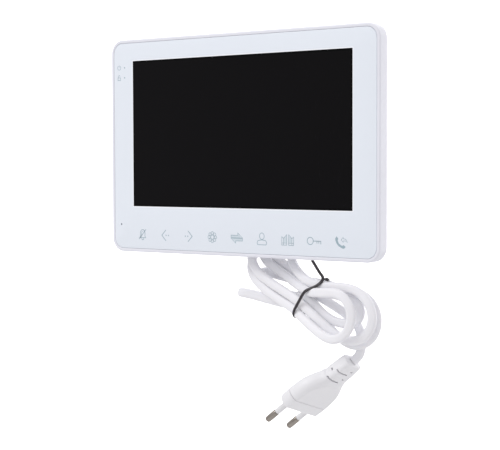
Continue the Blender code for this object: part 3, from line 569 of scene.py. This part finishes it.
def draw_person(ink, pale):
    stroke(ink, arc(0.0, 1.75, 1.75, 2.0, 0, 345, 23), 0.4 * MM, closed=True)
    body = arc(-2.0, -2.3, 1.5, 1.5, 200, 110, 8) + [(-0.9, -0.6), (0.9, -0.6)]
    body += arc(2.0, -2.3, 1.5, 1.5, 70, -20, 8) + [(3.1, -3.5), (-3.1, -3.5)]
    stroke(ink, body, 0.4 * MM, closed=True)


def draw_gate(ink, pale):
    leaf = [(-4.3, 1.9), (-4.3, -3.1), (-0.7, -3.1), (-0.7, 3.2), (-3.1, 0.9)]
    for side in (leaf, mirrored(leaf)):
        stroke(ink, side, 0.36 * MM, closed=True)
    for sign in (-1, 1):
        stroke(ink, [(sign * 3.1, 0.9), (sign * 3.1, -3.1)], 0.3 * MM)
        stroke(ink, [(sign * 4.2, -1.9), (sign * 0.8, -1.9)], 0.3 * MM)
        blot(pale, [(sign * 2.9, 0.7), (sign * 2.9, -1.8), (sign * 0.9, -1.8), (sign * 0.9, 2.6)])


def draw_key(ink, pale):
    stroke(ink, arc(-2.8, 0.0, 2.15, 2.15, 0, 345, 23), 0.46 * MM, closed=True)
    stroke(ink, [(-0.6, 0.0), (4.7, 0.0), (4.7, -1.6)], 0.46 * MM)
    for x in (2.0, 3.3):
        stroke(ink, [(x, 0.0), (x, -1.2)], 0.42 * MM)


def draw_handset(ink, pale):
    outer = [(-4.3, 2.0), (-3.4, 3.3), (-2.2, 2.0), (-2.6, 0.9)]
    inner = [(-1.8, -0.9), (0.4, -2.2), (1.5, -1.7), (2.9, -2.7), (1.9, -3.8)]
    back = [(0.6, -3.7), (-1.8, -2.6), (-3.4, -0.9), (-4.2, 0.9)]
    blot(ink, outer + inner + back)
    arrow = [(-0.2, 1.3), (1.2, 2.9), (1.2, 2.1), (3.0, 1.7), (4.2, -0.1), (2.6, 0.8), (1.2, 0.7),
             (1.2, -0.1)]
    stroke(ink, arrow, 0.3 * MM, closed=True)


def draw_power(ink, pale):
    stroke(ink, arc(0.0, 0.0, 1.35, 1.35, 125, 415, 20), 0.34 * MM)
    stroke(ink, [(0.0, 1.5), (0.0, 0.5)], 0.34 * MM)


def draw_padlock(ink, pale):
    stroke(ink, [(-1.1, 0.1), (1.1, 0.1), (1.1, -1.6), (-1.1, -1.6)], 0.36 * MM, closed=True)
    stroke(ink, [(-0.7, 0.1)] + arc(0.0, 0.7, 0.7, 0.9, 180, 20, 10), 0.32 * MM)


def make_symbols(finish):
    """The touch keys' printed symbols, the two indicator symbols and their lamp dots."""
    glass_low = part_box("front_glass")[0]
    board_low, board_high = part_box("touch_board")
    row = (board_low.z + board_high.z) / 2
    pitch = 19.1 * MM
    names = ["mute", "back", "next", "settings", "transfer", "person", "gate", "key", "handset"]
    drawings = [draw_muted_bell, draw_back_arrow, draw_next_arrow, draw_settings, draw_transfer,
                draw_person, draw_gate, draw_key, draw_handset]
    places = [((i - 4) * pitch, row) for i in range(len(names))]
    for number, name, drawing in ((1, "power", draw_power), (2, "padlock", draw_padlock)):
        middle = middle_of(f"light_pipe_{number}")
        names.append(name)
        drawings.append(drawing)
        places.append((middle.x - 4.7 * MM, middle.z))
        dot = bmesh.new()
        blot(dot, arc(0.0, 0.0, 0.5, 0.5, 0, 345, 23))
        lamp = link_mesh(f"indicator_dot_{number}", dot)
        lamp.location = (middle.x, glass_low.y + 0.01 * MM, middle.z)
        dress(lamp, finish["ink"], slot="front_glass")
    for name, drawing, (x, z) in zip(names, drawings, places):
        for part, kind in (("line", "ink"), ("fill", "pale")):
            ink, pale = bmesh.new(), bmesh.new()
            drawing(ink, pale)
            keep, drop = (ink, pale) if part == "line" else (pale, ink)
            drop.free()
            if not keep.verts:
                keep.free()
                continue
            piece = link_mesh(f"symbol_{name}_{part}", keep)
            sink = 0.01 * MM if part == "line" else 0.02 * MM
            piece.location = (x, glass_low.y + sink, z)
            dress(piece, finish[kind], slot="front_glass")


# ---- mains lead ----
# The route is in millimetres. Each leg of the hank is a short list of points with its tightest bend; the
# turns of the hank are worked out by turn().
CORD_THICK = 3.6
CORD_WIDE = 5.7
CORD_CORE = (CORD_WIDE - CORD_THICK) / 2
CORD_STEP = 2.0
TIE_CENTRE = (46.5, -16.0, -91.4)
TIE_ACROSS = (0.6, 0.0, 0.8)
TIE_ALONG = (0.8, 0.0, -0.6)
REAR_SLANT = 3.4                    # how far the tie's rear run leans along the hank
RIM_TOP = -71.5                     # above this height the lead is behind the frame's rim
RIM_DEPTH = -13.95
WALL_DEPTH = -3.2
HOUSING_UNDER = -57.2
GLAND_X = 30.5
FACING = (0.35, -0.93, 0.1)         # the way the flat side of the lead looks
LEAD = [(30.5, -9.6, -67.3), (30.7, -9.9, -69.3), (32.6, -11.6, -72.6), (33.6, -12.1, -73.6),
        (36.6, -13.8, -76.2), (42.4, -16.4, -79.8)]
TAIL = [(80.6, -9.2, -115.6), (81.3, -10.6, -122.4), (80.9, -11.2, -124.7), (78.3, -11.7, -127.2),
        (76.4, -11.9, -128.7)]
FIRST_BEND = [(28.0, -16.6, -88.6), (16.1, -15.2, -83.5), (9.9, -14.8, -79.8), (6.0, -14.4, -76.4),
              (4.4, -14.2, -72.6), (4.0, -14.0, -68.4), (4.0, -12.4, -65.4), (5.0, -10.2, -65.8),
              (7.0, -9.4, -69.4), (9.9, -9.3, -71.7), (17.6, -9.4, -75.9), (25.9, -9.8, -79.8),
              (34.7, -11.2, -84.0)]
SECOND_BEND = [(26.6, -16.6, -95.0), (15.5, -15.0, -89.7), (8.0, -14.0, -85.3), (3.5, -13.0, -81.1),
               (1.0, -11.8, -76.6), (0.6, -9.8, -72.6), (0.6, -7.4, -68.2), (1.6, -6.0, -63.0),
               (6.0, -5.2, -60.6), (9.6, -5.2, -64.4), (13.0, -5.4, -68.6), (18.8, -5.6, -71.6),
               (26.1, -6.0, -76.1), (32.2, -7.4, -80.1)]
INNER_TURN = [(62.0, -14.8, -88.4), (72.0, -15.2, -90.2), (80.4, -15.4, -92.8), (84.8, -15.5, -98.2),
              (81.4, -15.6, -104.4), (73.0, -15.8, -106.4), (64.0, -15.8, -105.2), (56.0, -15.4, -100.6)]
THIRD_BEND = [(36.6, -12.4, -92.8), (28.6, -11.0, -92.2), (21.2, -9.5, -89.1), (13.9, -8.4, -85.7),
              (7.4, -7.6, -82.9), (3.0, -6.4, -81.2), (2.6, -5.4, -79.8), (5.2, -4.7, -79.6),
              (8.9, -4.4, -80.4), (15.1, -4.2, -80.9), (22.8, -3.8, -82.2), (31.9, -3.8, -83.8),
              (42.0, -6.8, -83.8)]
FLAT_BEND = [(32.0, -11.0, -98.2), (20.0, -9.6, -97.0), (9.0, -9.4, -95.3), (0.0, -9.6, -93.6),
             (-7.0, -10.0, -92.7), (-11.0, -8.2, -92.6), (-7.0, -5.4, -93.4), (0.0, -4.9, -94.3),
             (9.0, -4.9, -95.6), (20.0, -5.2, -95.6), (32.0, -7.6, -93.2)]
LAST_RUN = [(56.0, -9.2, -94.7), (64.0, -8.4, -98.6), (72.0, -7.8, -103.6), (78.4, -7.9, -109.0)]


def at_tie(across, depth, along=0.0):
    """A point where the tie grips the hank: across it in the wall's plane, and at that depth."""
    x = TIE_CENTRE[0] + TIE_ACROSS[0] * across + TIE_ALONG[0] * along
    z = TIE_CENTRE[2] + TIE_ACROSS[2] * across + TIE_ALONG[2] * along
    return (x, depth, z)


def turn(centre, radii, tilt, start, stop, depth, count=9):
    """Part of a tilted ellipse at one depth: a turn of the hank."""
    points = []
    for angle in np.linspace(radians(start), radians(stop), count):
        x = radii[0] * cos(angle)
        z = radii[1] * sin(angle)
        c, s = cos(radians(tilt)), sin(radians(tilt))
        points.append((centre[0] + x * c - z * s, depth, centre[1] + x * s + z * c))
    return points


def hank_legs():
    """The lead's legs in order, each with its tightest bend."""
    easy, folded, creased = 7.0, 4.2, 3.2
    return [
        (LEAD, easy),
        ([at_tie(9.8, -19.2, 1.0)], easy),
        (turn((78.2, -100.2), (17.2, 15.6), -25, 125, -105, -20.6), easy),
        ([at_tie(-5.2, -19.8, 3.0), at_tie(-5.4, -19.2, -3.0)] + FIRST_BEND, folded),
        ([at_tie(4.2, -19.2)], easy),
        (turn((71.2, -101.2), (13.2, 14.2), -15, 120, -110, -26.6), easy),
        ([at_tie(-10.4, -20.6, 4.0), at_tie(-10.8, -19.4, -2.0)] + SECOND_BEND, folded),
        ([at_tie(4.6, -13.8)] + INNER_TURN + [at_tie(-1.6, -14.6)], easy),
        (THIRD_BEND, folded),
        ([at_tie(10.0, -13.2, 1.0)], easy),
        (turn((79.0, -103.6), (15.8, 15.8), -25, 120, -110, -14.4), easy),
        ([at_tie(-6.8, -13.2, 4.0), at_tie(-7.6, -13.0)], easy),
        (FLAT_BEND, creased),
        ([at_tie(1.0, -9.8)] + LAST_RUN + TAIL, easy)]


def curve_through(points, carried):
    """A centripetal curve through the points, with the carried values along it."""
    ends = np.vstack([2 * points[0] - points[1], points, 2 * points[-1] - points[-2]])
    values = np.vstack([carried[:1], carried, carried[-1:]])
    made, riding = [], []
    for i in range(1, len(ends) - 2):
        p0, p1, p2, p3 = ends[i - 1:i + 3]
        t1 = np.linalg.norm(p1 - p0) ** 0.5
        t2 = t1 + np.linalg.norm(p2 - p1) ** 0.5
        t3 = t2 + np.linalg.norm(p3 - p2) ** 0.5
        steps = max(2, int(np.linalg.norm(p2 - p1) / 0.5))
        for k in range(steps):
            f = k / steps
            t = t1 + (t2 - t1) * f
            a1 = (t1 - t) / t1 * p0 + t / t1 * p1
            a2 = (t2 - t) / (t2 - t1) * p1 + (t - t1) / (t2 - t1) * p2
            a3 = (t3 - t) / (t3 - t2) * p2 + (t - t2) / (t3 - t2) * p3
            b1 = (t2 - t) / t2 * a1 + t / t2 * a2
            b2 = (t3 - t) / (t3 - t1) * a2 + (t - t1) / (t3 - t1) * a3
            made.append((t2 - t) / (t2 - t1) * b1 + (t - t1) / (t2 - t1) * b2)
            riding.append(values[i] + (values[i + 1] - values[i]) * f)
    made.append(ends[-2])
    riding.append(values[-2])
    return np.array(made), np.array(riding)


def evenly(points, carried, spacing):
    """The same curve with its points a constant distance apart."""
    steps = np.linalg.norm(np.diff(points, axis=0), axis=1)
    length = np.concatenate([[0.0], np.cumsum(steps)])
    at = np.linspace(0.0, length[-1], int(round(length[-1] / spacing)) + 1)
    placed = np.stack([np.interp(at, length, column) for column in points.T], axis=1)
    riding = np.stack([np.interp(at, length, column) for column in carried.T], axis=1)
    return placed, riding


def unit(rows):
    return rows / np.linalg.norm(rows, axis=1)[:, None]


def square_to(tangent, ways):
    """The unit directions left when each way's part along the tangent is taken out."""
    return unit(ways - tangent * (ways * tangent).sum(1)[:, None])


def smooth(rows, passes):
    """Averages each row with its neighbours, in place; the first and last rows stay."""
    for _ in range(passes):
        rows[1:-1] = 0.25 * rows[:-2] + 0.5 * rows[1:-1] + 0.25 * rows[2:]


def width_way(points):
    """The direction of the flat cord's width at each point, with its flat side looking forward."""
    tangent = unit(np.gradient(points, axis=0))
    wide = np.cross(tangent, FACING)
    turned_over = np.sign((wide[1:] * wide[:-1]).sum(1) + 1e-9)
    wide[1:] *= np.cumprod(turned_over)[:, None]
    smooth(wide, 3)
    return square_to(tangent, wide)


def link_between(a0, a1, b0, b1):
    """The vector from each segment a to its segment b, where the two are closest."""
    u, v, w = a1 - a0, b1 - b0, a0 - b0
    a, b, c = (u * u).sum(1), (u * v).sum(1), (v * v).sum(1)
    d, e = (u * w).sum(1), (v * w).sum(1)
    spread = np.maximum(a * c - b * b, 1e-9)
    s = np.clip((b * e - c * d) / spread, 0, 1)
    t = np.clip((b * s + e) / c, 0, 1)
    s = np.clip((b * t - d) / a, 0, 1)
    return (b0 + v * t[:, None]) - (a0 + u * s[:, None])


def keep_spacing(p, gap):
    """Brings each point back to its distance from the next: first every other pair, then the rest."""
    for start in (0, 1):
        ahead = p[start + 1::2]
        behind = p[start:-1:2][:len(ahead)]
        apart = ahead - behind
        size = np.linalg.norm(apart, axis=1)[:, None]
        move = apart * (size - gap) / size * 0.5
        p[start:-1:2][:len(ahead)] += move
        p[start + 1::2] -= move


def push_apart(p, first, second, way, pushed, gain):
    """Moves each pair of points apart along its way; a point in several pairs takes their average."""
    move = np.zeros_like(p)
    shares = np.zeros(len(p))
    for index, sign in ((second, 1.0), (first, -1.0)):
        np.add.at(move, index, way * sign)
        np.add.at(shares, index, pushed)
    p += move / np.maximum(shares, 1.0)[:, None] * gain


def open_bends(p, gap, bend):
    """Pushes apart points two to four steps away that a bend of the given radius would keep further."""
    count = len(p)
    index = np.arange(count)
    for k in (2, 3, 4):
        radius = np.minimum(bend[k:count - k], 60.0)
        wanted = 2 * radius * np.sin(np.minimum(k * gap / radius, pi / 2))
        apart = p[2 * k:] - p[:-2 * k]
        size = np.linalg.norm(apart, axis=1)
        push = np.maximum(wanted - size, 0.0) / size * 0.5
        push_apart(p, index[:-2 * k], index[2 * k:], apart * push[:, None], push > 0, 0.8)


def part_strands(p, first, second):
    """Moves strands of the flat cord out of each other."""
    clearance = CORD_THICK + 0.12
    half = width_way(p) * CORD_CORE
    link = link_between(p[first] - half[first], p[first] + half[first],
                        p[second] - half[second], p[second] + half[second])
    size = np.linalg.norm(link, axis=1)
    middle = p[second] - p[first]
    touching = size < 0.05
    way = np.where(touching[:, None], middle, link)
    way = way / np.where(touching, np.linalg.norm(middle, axis=1), size)[:, None]
    depth = np.maximum(clearance - size, 0.0)
    push_apart(p, first, second, way * depth[:, None] * 0.5, depth > 0, 1.5)


def settle(rest, bend, rounds=500):
    """Lets the tied lead find its lie: its length stays, no bend is tighter than the cord allows, no
    strand is inside another, and the frame's rim, the housing and the wall hold it in depth."""
    p = rest.copy()
    index = np.arange(len(p))
    gap = np.linalg.norm(np.diff(rest, axis=0), axis=1).mean()
    pinned = (index < 3) | (index > len(p) - 4)
    pull = np.array([0.035, 0.012, 0.035])
    reach = 8.0             # strands further apart than this cannot touch
    same_strand = 12.0      # nor can points nearer than this along the cord
    for step in range(rounds):
        p += (rest - p) * pull * (1.0 if step < rounds * 0.7 else 0.25)
        p[1:-1] += 0.0625 * (p[:-2] + p[2:] - 2 * p[1:-1])
        for _ in range(3):
            keep_spacing(p, gap)
        open_bends(p, gap, bend)
        if step % 10 == 0:
            near = ((p[:, None] - p[None]) ** 2).sum(2) < reach ** 2
            first, second = np.nonzero(np.triu(near, int(same_strand / gap)))
        for _ in range(2):
            part_strands(p, first, second)
        foremost = np.where(p[:, 2] > RIM_TOP, RIM_DEPTH, -60.0)
        p[:, 1] = np.clip(p[:, 1], foremost, WALL_DEPTH)
        p[:, 2] = np.minimum(p[:, 2], np.where(np.abs(p[:, 0] - GLAND_X) > 8.0, HOUSING_UNDER, 0.0))
        p[pinned] = rest[pinned]
    return p


def sweep(work, points, ways, section):
    """Sweeps a section, given as (along the width, across it), down a path."""
    tangent = unit(np.gradient(points, axis=0))
    wide = square_to(tangent, ways)
    thin = np.cross(tangent, wide)
    loops = []
    for here, a, b in zip(points, wide, thin):
        loops.append([work.verts.new(Vector(here + a * s + b * t) * MM) for s, t in section])
    capped(work, loops)


def make_cord(finish):
    """The flat two-core lead, from the gland through its tied hank to the plug."""
    points = [point for leg, _ in hank_legs() for point in leg]
    carried = [[bend] for leg, bend in hank_legs() for _ in leg]
    rest, bends = curve_through(np.array(points, float), np.array(carried, float))
    rest, bends = evenly(rest, bends, CORD_STEP)
    lie = settle(rest, bends[:, 0])
    lie, _ = curve_through(lie, lie)
    lie, _ = evenly(lie, lie, 1.1)
    smooth(lie, 2)
    wide = width_way(lie)
    section = []
    for side in (1, -1):
        for angle in angles(-90, 90, 10):
            section.append((side * (CORD_CORE + CORD_THICK / 2 * cos(angle)),
                            side * CORD_THICK / 2 * sin(angle)))
    work = bmesh.new()
    sweep(work, lie, wide, section)
    piece = link_mesh("mains_lead", work, 50)
    dress(piece, finish["cord"], slot="cord_pvc", stands_for=["cord_lead", "cord_hank", "cord_tail"])
    return piece, lie, wide


# ---- twist tie ----
def tie_slant(across, depth):
    """How far along the hank the tie lies at each place of its loop: it runs aslant."""
    front = np.interp(across, [-12.6, -11.0, -7.7, -2.6, 3.3, 9.8, 12.6],
                      [2.6, -0.4, -1.3, -1.1, -0.4, 1.4, 5.0])
    ahead = np.clip((-13.5 - depth) / 5.0, 0.0, 1.0)
    return front * ahead + REAR_SLANT * (1.0 - ahead)


def make_tie(finish, lie, wide):
    """A twin-wire tie pulled round the hank, crossed on top, with a long and a short free end."""
    centre, across, along = np.array(TIE_CENTRE), np.array(TIE_ACROSS), np.array(TIE_ALONG)
    near = np.abs((lie - centre) @ along - tie_slant((lie - centre) @ across, lie[:, 1])) < 2.4
    rim = []
    for here, way in zip(lie[near], wide[near]):
        for side in (-1, 1):
            core = here + way * CORD_CORE * side
            for i in range(12):
                angle = 2 * pi * i / 12
                reach = CORD_THICK / 2 + 0.55
                rim.append(((core - centre) @ across + reach * cos(angle), core[1] + reach * sin(angle)))
    hull = np.array(convex(rim))
    slant = tie_slant(hull[:, 0], hull[:, 1])
    ring = np.array([centre + across * a + along * u + np.array([0.0, y - centre[1], 0.0])
                     for (a, y), u in zip(hull, slant)])
    start = int(np.argmax(hull[:, 0] - 0.1 * np.abs(hull[:, 1] + 16.0)))
    ring = np.vstack([ring[start:], ring[:start], ring[start:start + 1]])
    if ring[3, 1] > ring[-4, 1]:
        ring = ring[::-1]
    ring, _ = evenly(ring, ring, 1.2)
    smooth(ring, 4)
    knot = ring[0] + across * 0.7 + along * 0.6 - np.array([0.0, 0.6, 0.0])
    long_end = [knot + np.array(offset) for offset in
                ((-8.6, -0.8, 11.2), (-5.8, -0.9, 7.5), (-2.9, -0.9, 3.7), (-0.7, -0.8, 0.9))]
    short_end = [knot + np.array(offset) for offset in ((0.4, 0.8, 0.0), (1.1, 0.8, -0.2), (1.9, 0.7, -0.3))]
    route = np.vstack([long_end, ring[2:-2], short_end])
    route, _ = curve_through(route, route)
    step = 0.6
    route, _ = evenly(route, route, step)
    smooth(route, 3)
    tangent = np.gradient(route, axis=0)
    outward = unit(route - (centre + along * ((route - centre) @ along)[:, None]))
    travel = np.arange(len(route)) * step
    inside = np.clip(np.minimum(travel - 12.0, travel[-1] - 3.0 - travel) / 3.0, 0.0, 1.0)[:, None]
    width = np.cross(tangent, outward * inside + np.array(FACING) * (1.0 - inside))
    wire = 0.48
    spread = 0.44
    section = []
    for side in (1, -1):
        for angle in angles(-120, 120, 8):
            section.append((side * (spread + wire * cos(angle)), side * wire * sin(angle)))
    work = bmesh.new()
    sweep(work, route, width, section)
    piece = link_mesh("twin_wire_tie", work, 40)
    dress(piece, finish["tie"], slot="tie_black", stands_for=["twist_tie"])
    return piece


def convex(points):
    """The convex hull of flat points, anticlockwise."""
    ordered = sorted(set((round(a, 4), round(b, 4)) for a, b in points))

    def half(run):
        kept = []
        for point in run:
            while len(kept) > 1:
                (ax, ay), (bx, by) = kept[-2:]
                if (bx - ax) * (point[1] - ay) - (by - ay) * (point[0] - ax) > 0:
                    break
                kept.pop()
            kept.append(point)
        return kept[:-1]

    return half(ordered) + half(ordered[::-1])


# ---- plug ----
PLUG_AXIS = (-0.773, -0.065, -0.631)    # the way its pins point
PIN_LENGTH = 19.0
PIN_SPACING = 18.6


def plug_frame():
    """The plug's own frame, from its CAD pins: X from pin to pin, Z the way they point."""
    ends = [np.array([v.co for v in NODES[f"plug_pin_{i}"].data.vertices]) for i in (1, 2)]
    axis = Vector(PLUG_AXIS).normalized()
    middles = []
    for points in ends:
        along = points @ np.array(axis)
        tip = points[along > along.max() - 0.5 * MM].mean(axis=0)
        middles.append(Vector(tip))
    across = middles[1] - middles[0]
    across = (across - axis * across.dot(axis)).normalized()
    thick = axis.cross(across)
    tip = (middles[0] + middles[1]) / 2
    turn = Matrix((across, thick, axis)).transposed().to_4x4()
    face = max(float(np.max(points @ np.array(axis))) for points in ends) - PIN_LENGTH * MM
    origin = tip + axis * (face - tip.dot(axis))
    return Matrix.Translation(origin) @ turn


def plug_ring(work, place, height, half_width, half_thick, power, facet):
    """A loop of vertices round the plug: a superellipse in millimetres, cut flat beyond the facets."""
    ring = []
    sides = 96
    for i in range(sides):
        angle = 2 * pi * i / sides
        c, s = cos(angle), sin(angle)
        x = half_width * abs(c) ** (2 / power) * (1 if c > 0 else -1)
        y = half_thick * abs(s) ** (2 / power) * (1 if s > 0 else -1)
        ring.append(work.verts.new(place @ (Vector((x, max(-facet, min(facet, y)), height)) * MM)))
    return ring


def blend_rows(rows, count):
    """Smoothly interpolates rows of (height, values...) into count rows."""
    table = np.array(rows, float)
    made, _ = curve_through(table, table)
    order = np.argsort(made[:, 0])
    made = made[order]
    at = np.linspace(table[0, 0], table[-1, 0], count)
    return [tuple(np.interp(h, made[:, 0], made[:, i]) for i in range(table.shape[1])) for h in at]


def make_plug(finish):
    """The flat two-pin plug: moulded body with finger facets and a slotted neck, front band and pins."""
    place = plug_frame()
    rows = [  # height, half width, half thickness, squareness, half height of the flat facets
        (-48.0, 6.2, 4.3, 4.4, 9.0), (-45.0, 6.6, 4.6, 4.4, 9.0), (-40.0, 7.0, 4.8, 4.2, 9.0),
        (-36.0, 7.3, 4.9, 4.0, 9.0), (-32.6, 7.6, 5.0, 3.4, 9.0), (-31.6, 8.5, 5.3, 3.0, 9.0),
        (-29.0, 9.7, 5.6, 2.7, 6.2), (-25.0, 12.2, 6.5, 2.5, 5.7), (-20.0, 14.4, 7.4, 2.4, 5.5),
        (-14.0, 15.4, 8.0, 2.3, 5.5), (-8.7, 15.7, 8.2, 2.3, 5.5)]
    work = bmesh.new()
    loops = []
    rear_round = [(0.86, -48.0), (0.95, -47.8), (1.0, -47.2)]
    stations = blend_rows(rows, 110)
    for height, half_width, half_thick, power, facet in stations:
        fit = 1.0
        for share, level in rear_round:
            if height <= level:
                fit = min(fit, share)
        loops.append(plug_ring(work, place, height, half_width * fit, half_thick * fit, power, facet))
    capped(work, loops)
    body = link_mesh("plug_housing", work, 24)
    carve(body, place)
    dress(body, finish["plug"], slot="plug_plastic", stands_for=["plug_body"])

    band = bmesh.new()
    loops = []
    for height, shrink in ((-8.35, 0.25), (-8.1, 0.0), (-1.3, 0.3), (-0.6, 0.5), (-0.15, 0.9), (0.0, 1.4)):
        loops.append(plug_ring(band, place, height, 15.7 - shrink, 8.2 - shrink, 2.3, 5.5 - shrink))
    capped(band, loops)
    front = link_mesh("plug_front_band", band, 24)
    dress(front, finish["plug"], slot="plug_plastic", stands_for=["plug_front"])

    made = [body, front]
    for i, side in enumerate((-1, 1), start=1):
        at = place @ Matrix.Translation((side * PIN_SPACING / 2 * MM, 0.0, 0.0))
        pin = bmesh.new()
        profile = [(1.2, 0.2), (1.2, 9.6), (1.95, 9.9), (1.95, 10.0), (2.0, 10.1), (2.0, 17.4), (1.9, 18.1),
                   (1.65, 18.6), (1.25, 18.9), (0.5, 19.0)]
        turned(pin, [(r * MM, h * MM) for r, h in profile], at, 40)
        metal = link_mesh(f"plug_pin_tip_{i}", pin, 30)
        dress(metal, finish["pin"], slot="pin_nickel", stands_for=[f"plug_pin_{i}"])
        cover = bmesh.new()
        profile = [(1.3, 0.1), (1.3, 9.4), (1.75, 9.75), (1.9, 9.5), (1.95, 1.0), (2.5, 0.4), (2.6, 0.1)]
        turned(cover, [(r * MM, h * MM) for r, h in profile], at, 40, True)
        sleeve = link_mesh(f"plug_pin_cover_{i}", cover, 30)
        dress(sleeve, finish["sleeve"], slot="sleeve_plastic", stands_for=[f"pin_sleeve_{i}"])
        made += [metal, sleeve]
    return made


def carve(body, place):
    """Cuts the neck's strain relief: curved slots from opposite corners, with small pockets between."""
    cuts = []
    for height, half_width, half_thick, power in ((-39.8, 7.0, 4.8, 4.2), (-32.3, 7.8, 5.05, 3.3)):
        slot = []
        for i in range(37):
            angle = radians(168.0 - 78.6 * i / 36)
            c, s = cos(angle), sin(angle)
            x = half_width * np.sign(c) * abs(c) ** (2 / power)
            slot.append(((x, half_thick * s ** (2 / power), height), (c, s, 0.0)))
        cuts.append((slot, 2.0, 0.46))
    for height, half_thick in ((-43.1, 4.7), (-35.6, 4.95)):
        pocket = [((x, half_thick, height), (0.0, 1.0, 0.0)) for x in (0.7, 1.5, 2.3)]
        cuts.append((pocket, 1.2, 0.5))
    notch = [((-7.25, y, -36.9), (-1.0, 0.0, 0.0)) for y in (-0.9, 0.0, 0.9)]
    cuts.append((notch, 1.2, 0.5))
    tools = []
    turn = place.to_3x3()
    for cut, deep, half_gap in cuts:
        corners = [(deep, half_gap), (-deep, half_gap), (-deep, -half_gap), (deep, -half_gap)]
        for side in (-1, 1):
            path, ways = [], []
            for (x, y, z), (ox, oy, _) in cut:
                path.append(np.array(place @ (Vector((side * x, side * y, z)) * MM)) / MM)
                ways.append(np.array(turn @ Vector((side * ox, side * oy, 0.0))))
            work = bmesh.new()
            sweep(work, np.array(path), np.array(ways), corners)
            tools.append(link_mesh("relief_tool", work))
    cut_out(body, tools)
    body.data.set_sharp_from_angle(angle=radians(24))


# ---- gland and carried-over CAD nodes ----
def make_gland(finish):
    """The ribbed rubber strain relief."""
    low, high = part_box("cord_gland")
    centre = (low + high) / 2
    tall = (high.z - low.z) / MM
    profile = [(0.8, 0.0), (3.2, 0.0)]
    for rib in range(4):
        base = 0.6 + 2.4 * rib
        grow = 0.28 * rib
        profile += [(3.4 + grow, base), (3.5 + grow, base + 1.3), (2.9 + grow, base + 1.5),
                    (2.9 + grow, base + 2.2)]
    profile += [(4.6, 10.6), (4.6, 12.2), (3.7, 12.4), (3.7, 15.3), (5.5, 15.4), (5.5, tall - 0.2),
                (5.2, tall)]
    work = bmesh.new()
    place = Matrix.Translation((centre.x, centre.y, low.z))
    turned(work, [(r * MM, h * MM) for r, h in profile], place, 48)
    piece = link_mesh("strain_relief", work, 30)
    dress(piece, finish["gland"], slot="gland_rubber", stands_for=["cord_gland"])


def dress_cad(finish):
    """Materials, and rounded edges where they show, for the CAD nodes that are shown as they are."""
    kinds = {"wall_bracket": "steel", "lcd_gasket": "foam", "lcd_module": "display", "touch_board": "green",
             "indicator_board": "green", "light_pipe_1": "pipe", "light_pipe_2": "pipe", "microphone": "can",
             "microphone_boot": "boot", "main_board": "green", "power_supply_board": "tan",
             "transformer": "tape", "capacitor": "capacitor", "fuse": "fuse", "display_ribbon": "ribbon",
             "speaker": "speaker", "rear_housing": "housing", "power_switch": "switch",
             "power_switch_knob": "switch"}
    for name in NODES:
        if name.startswith("header_"):
            kinds[name] = "header"
        elif "_screw_" in name:
            kinds[name] = "screw"
    for name, kind in kinds.items():
        mesh = NODES[name].data
        mesh.materials.clear()
        mesh.materials.append(finish[kind])
    bevelled("rear_housing", 0.35 * MM)
    bevelled("wall_bracket", 0.2 * MM)
    for name in kinds:
        if name.startswith("header_"):
            bevelled(name, 0.12 * MM)


make_camera()
make_stage()
FINISH = make_materials()
lead, lead_lie, lead_wide = make_cord(FINISH)
tie_piece = make_tie(FINISH, lead_lie, lead_wide)
plug_pieces = make_plug(FINISH)
make_frame(FINISH)
make_glass(FINISH)
make_symbols(FINISH)
make_gland(FINISH)
dress_cad(FINISH)

bpy.context.view_layer.update()
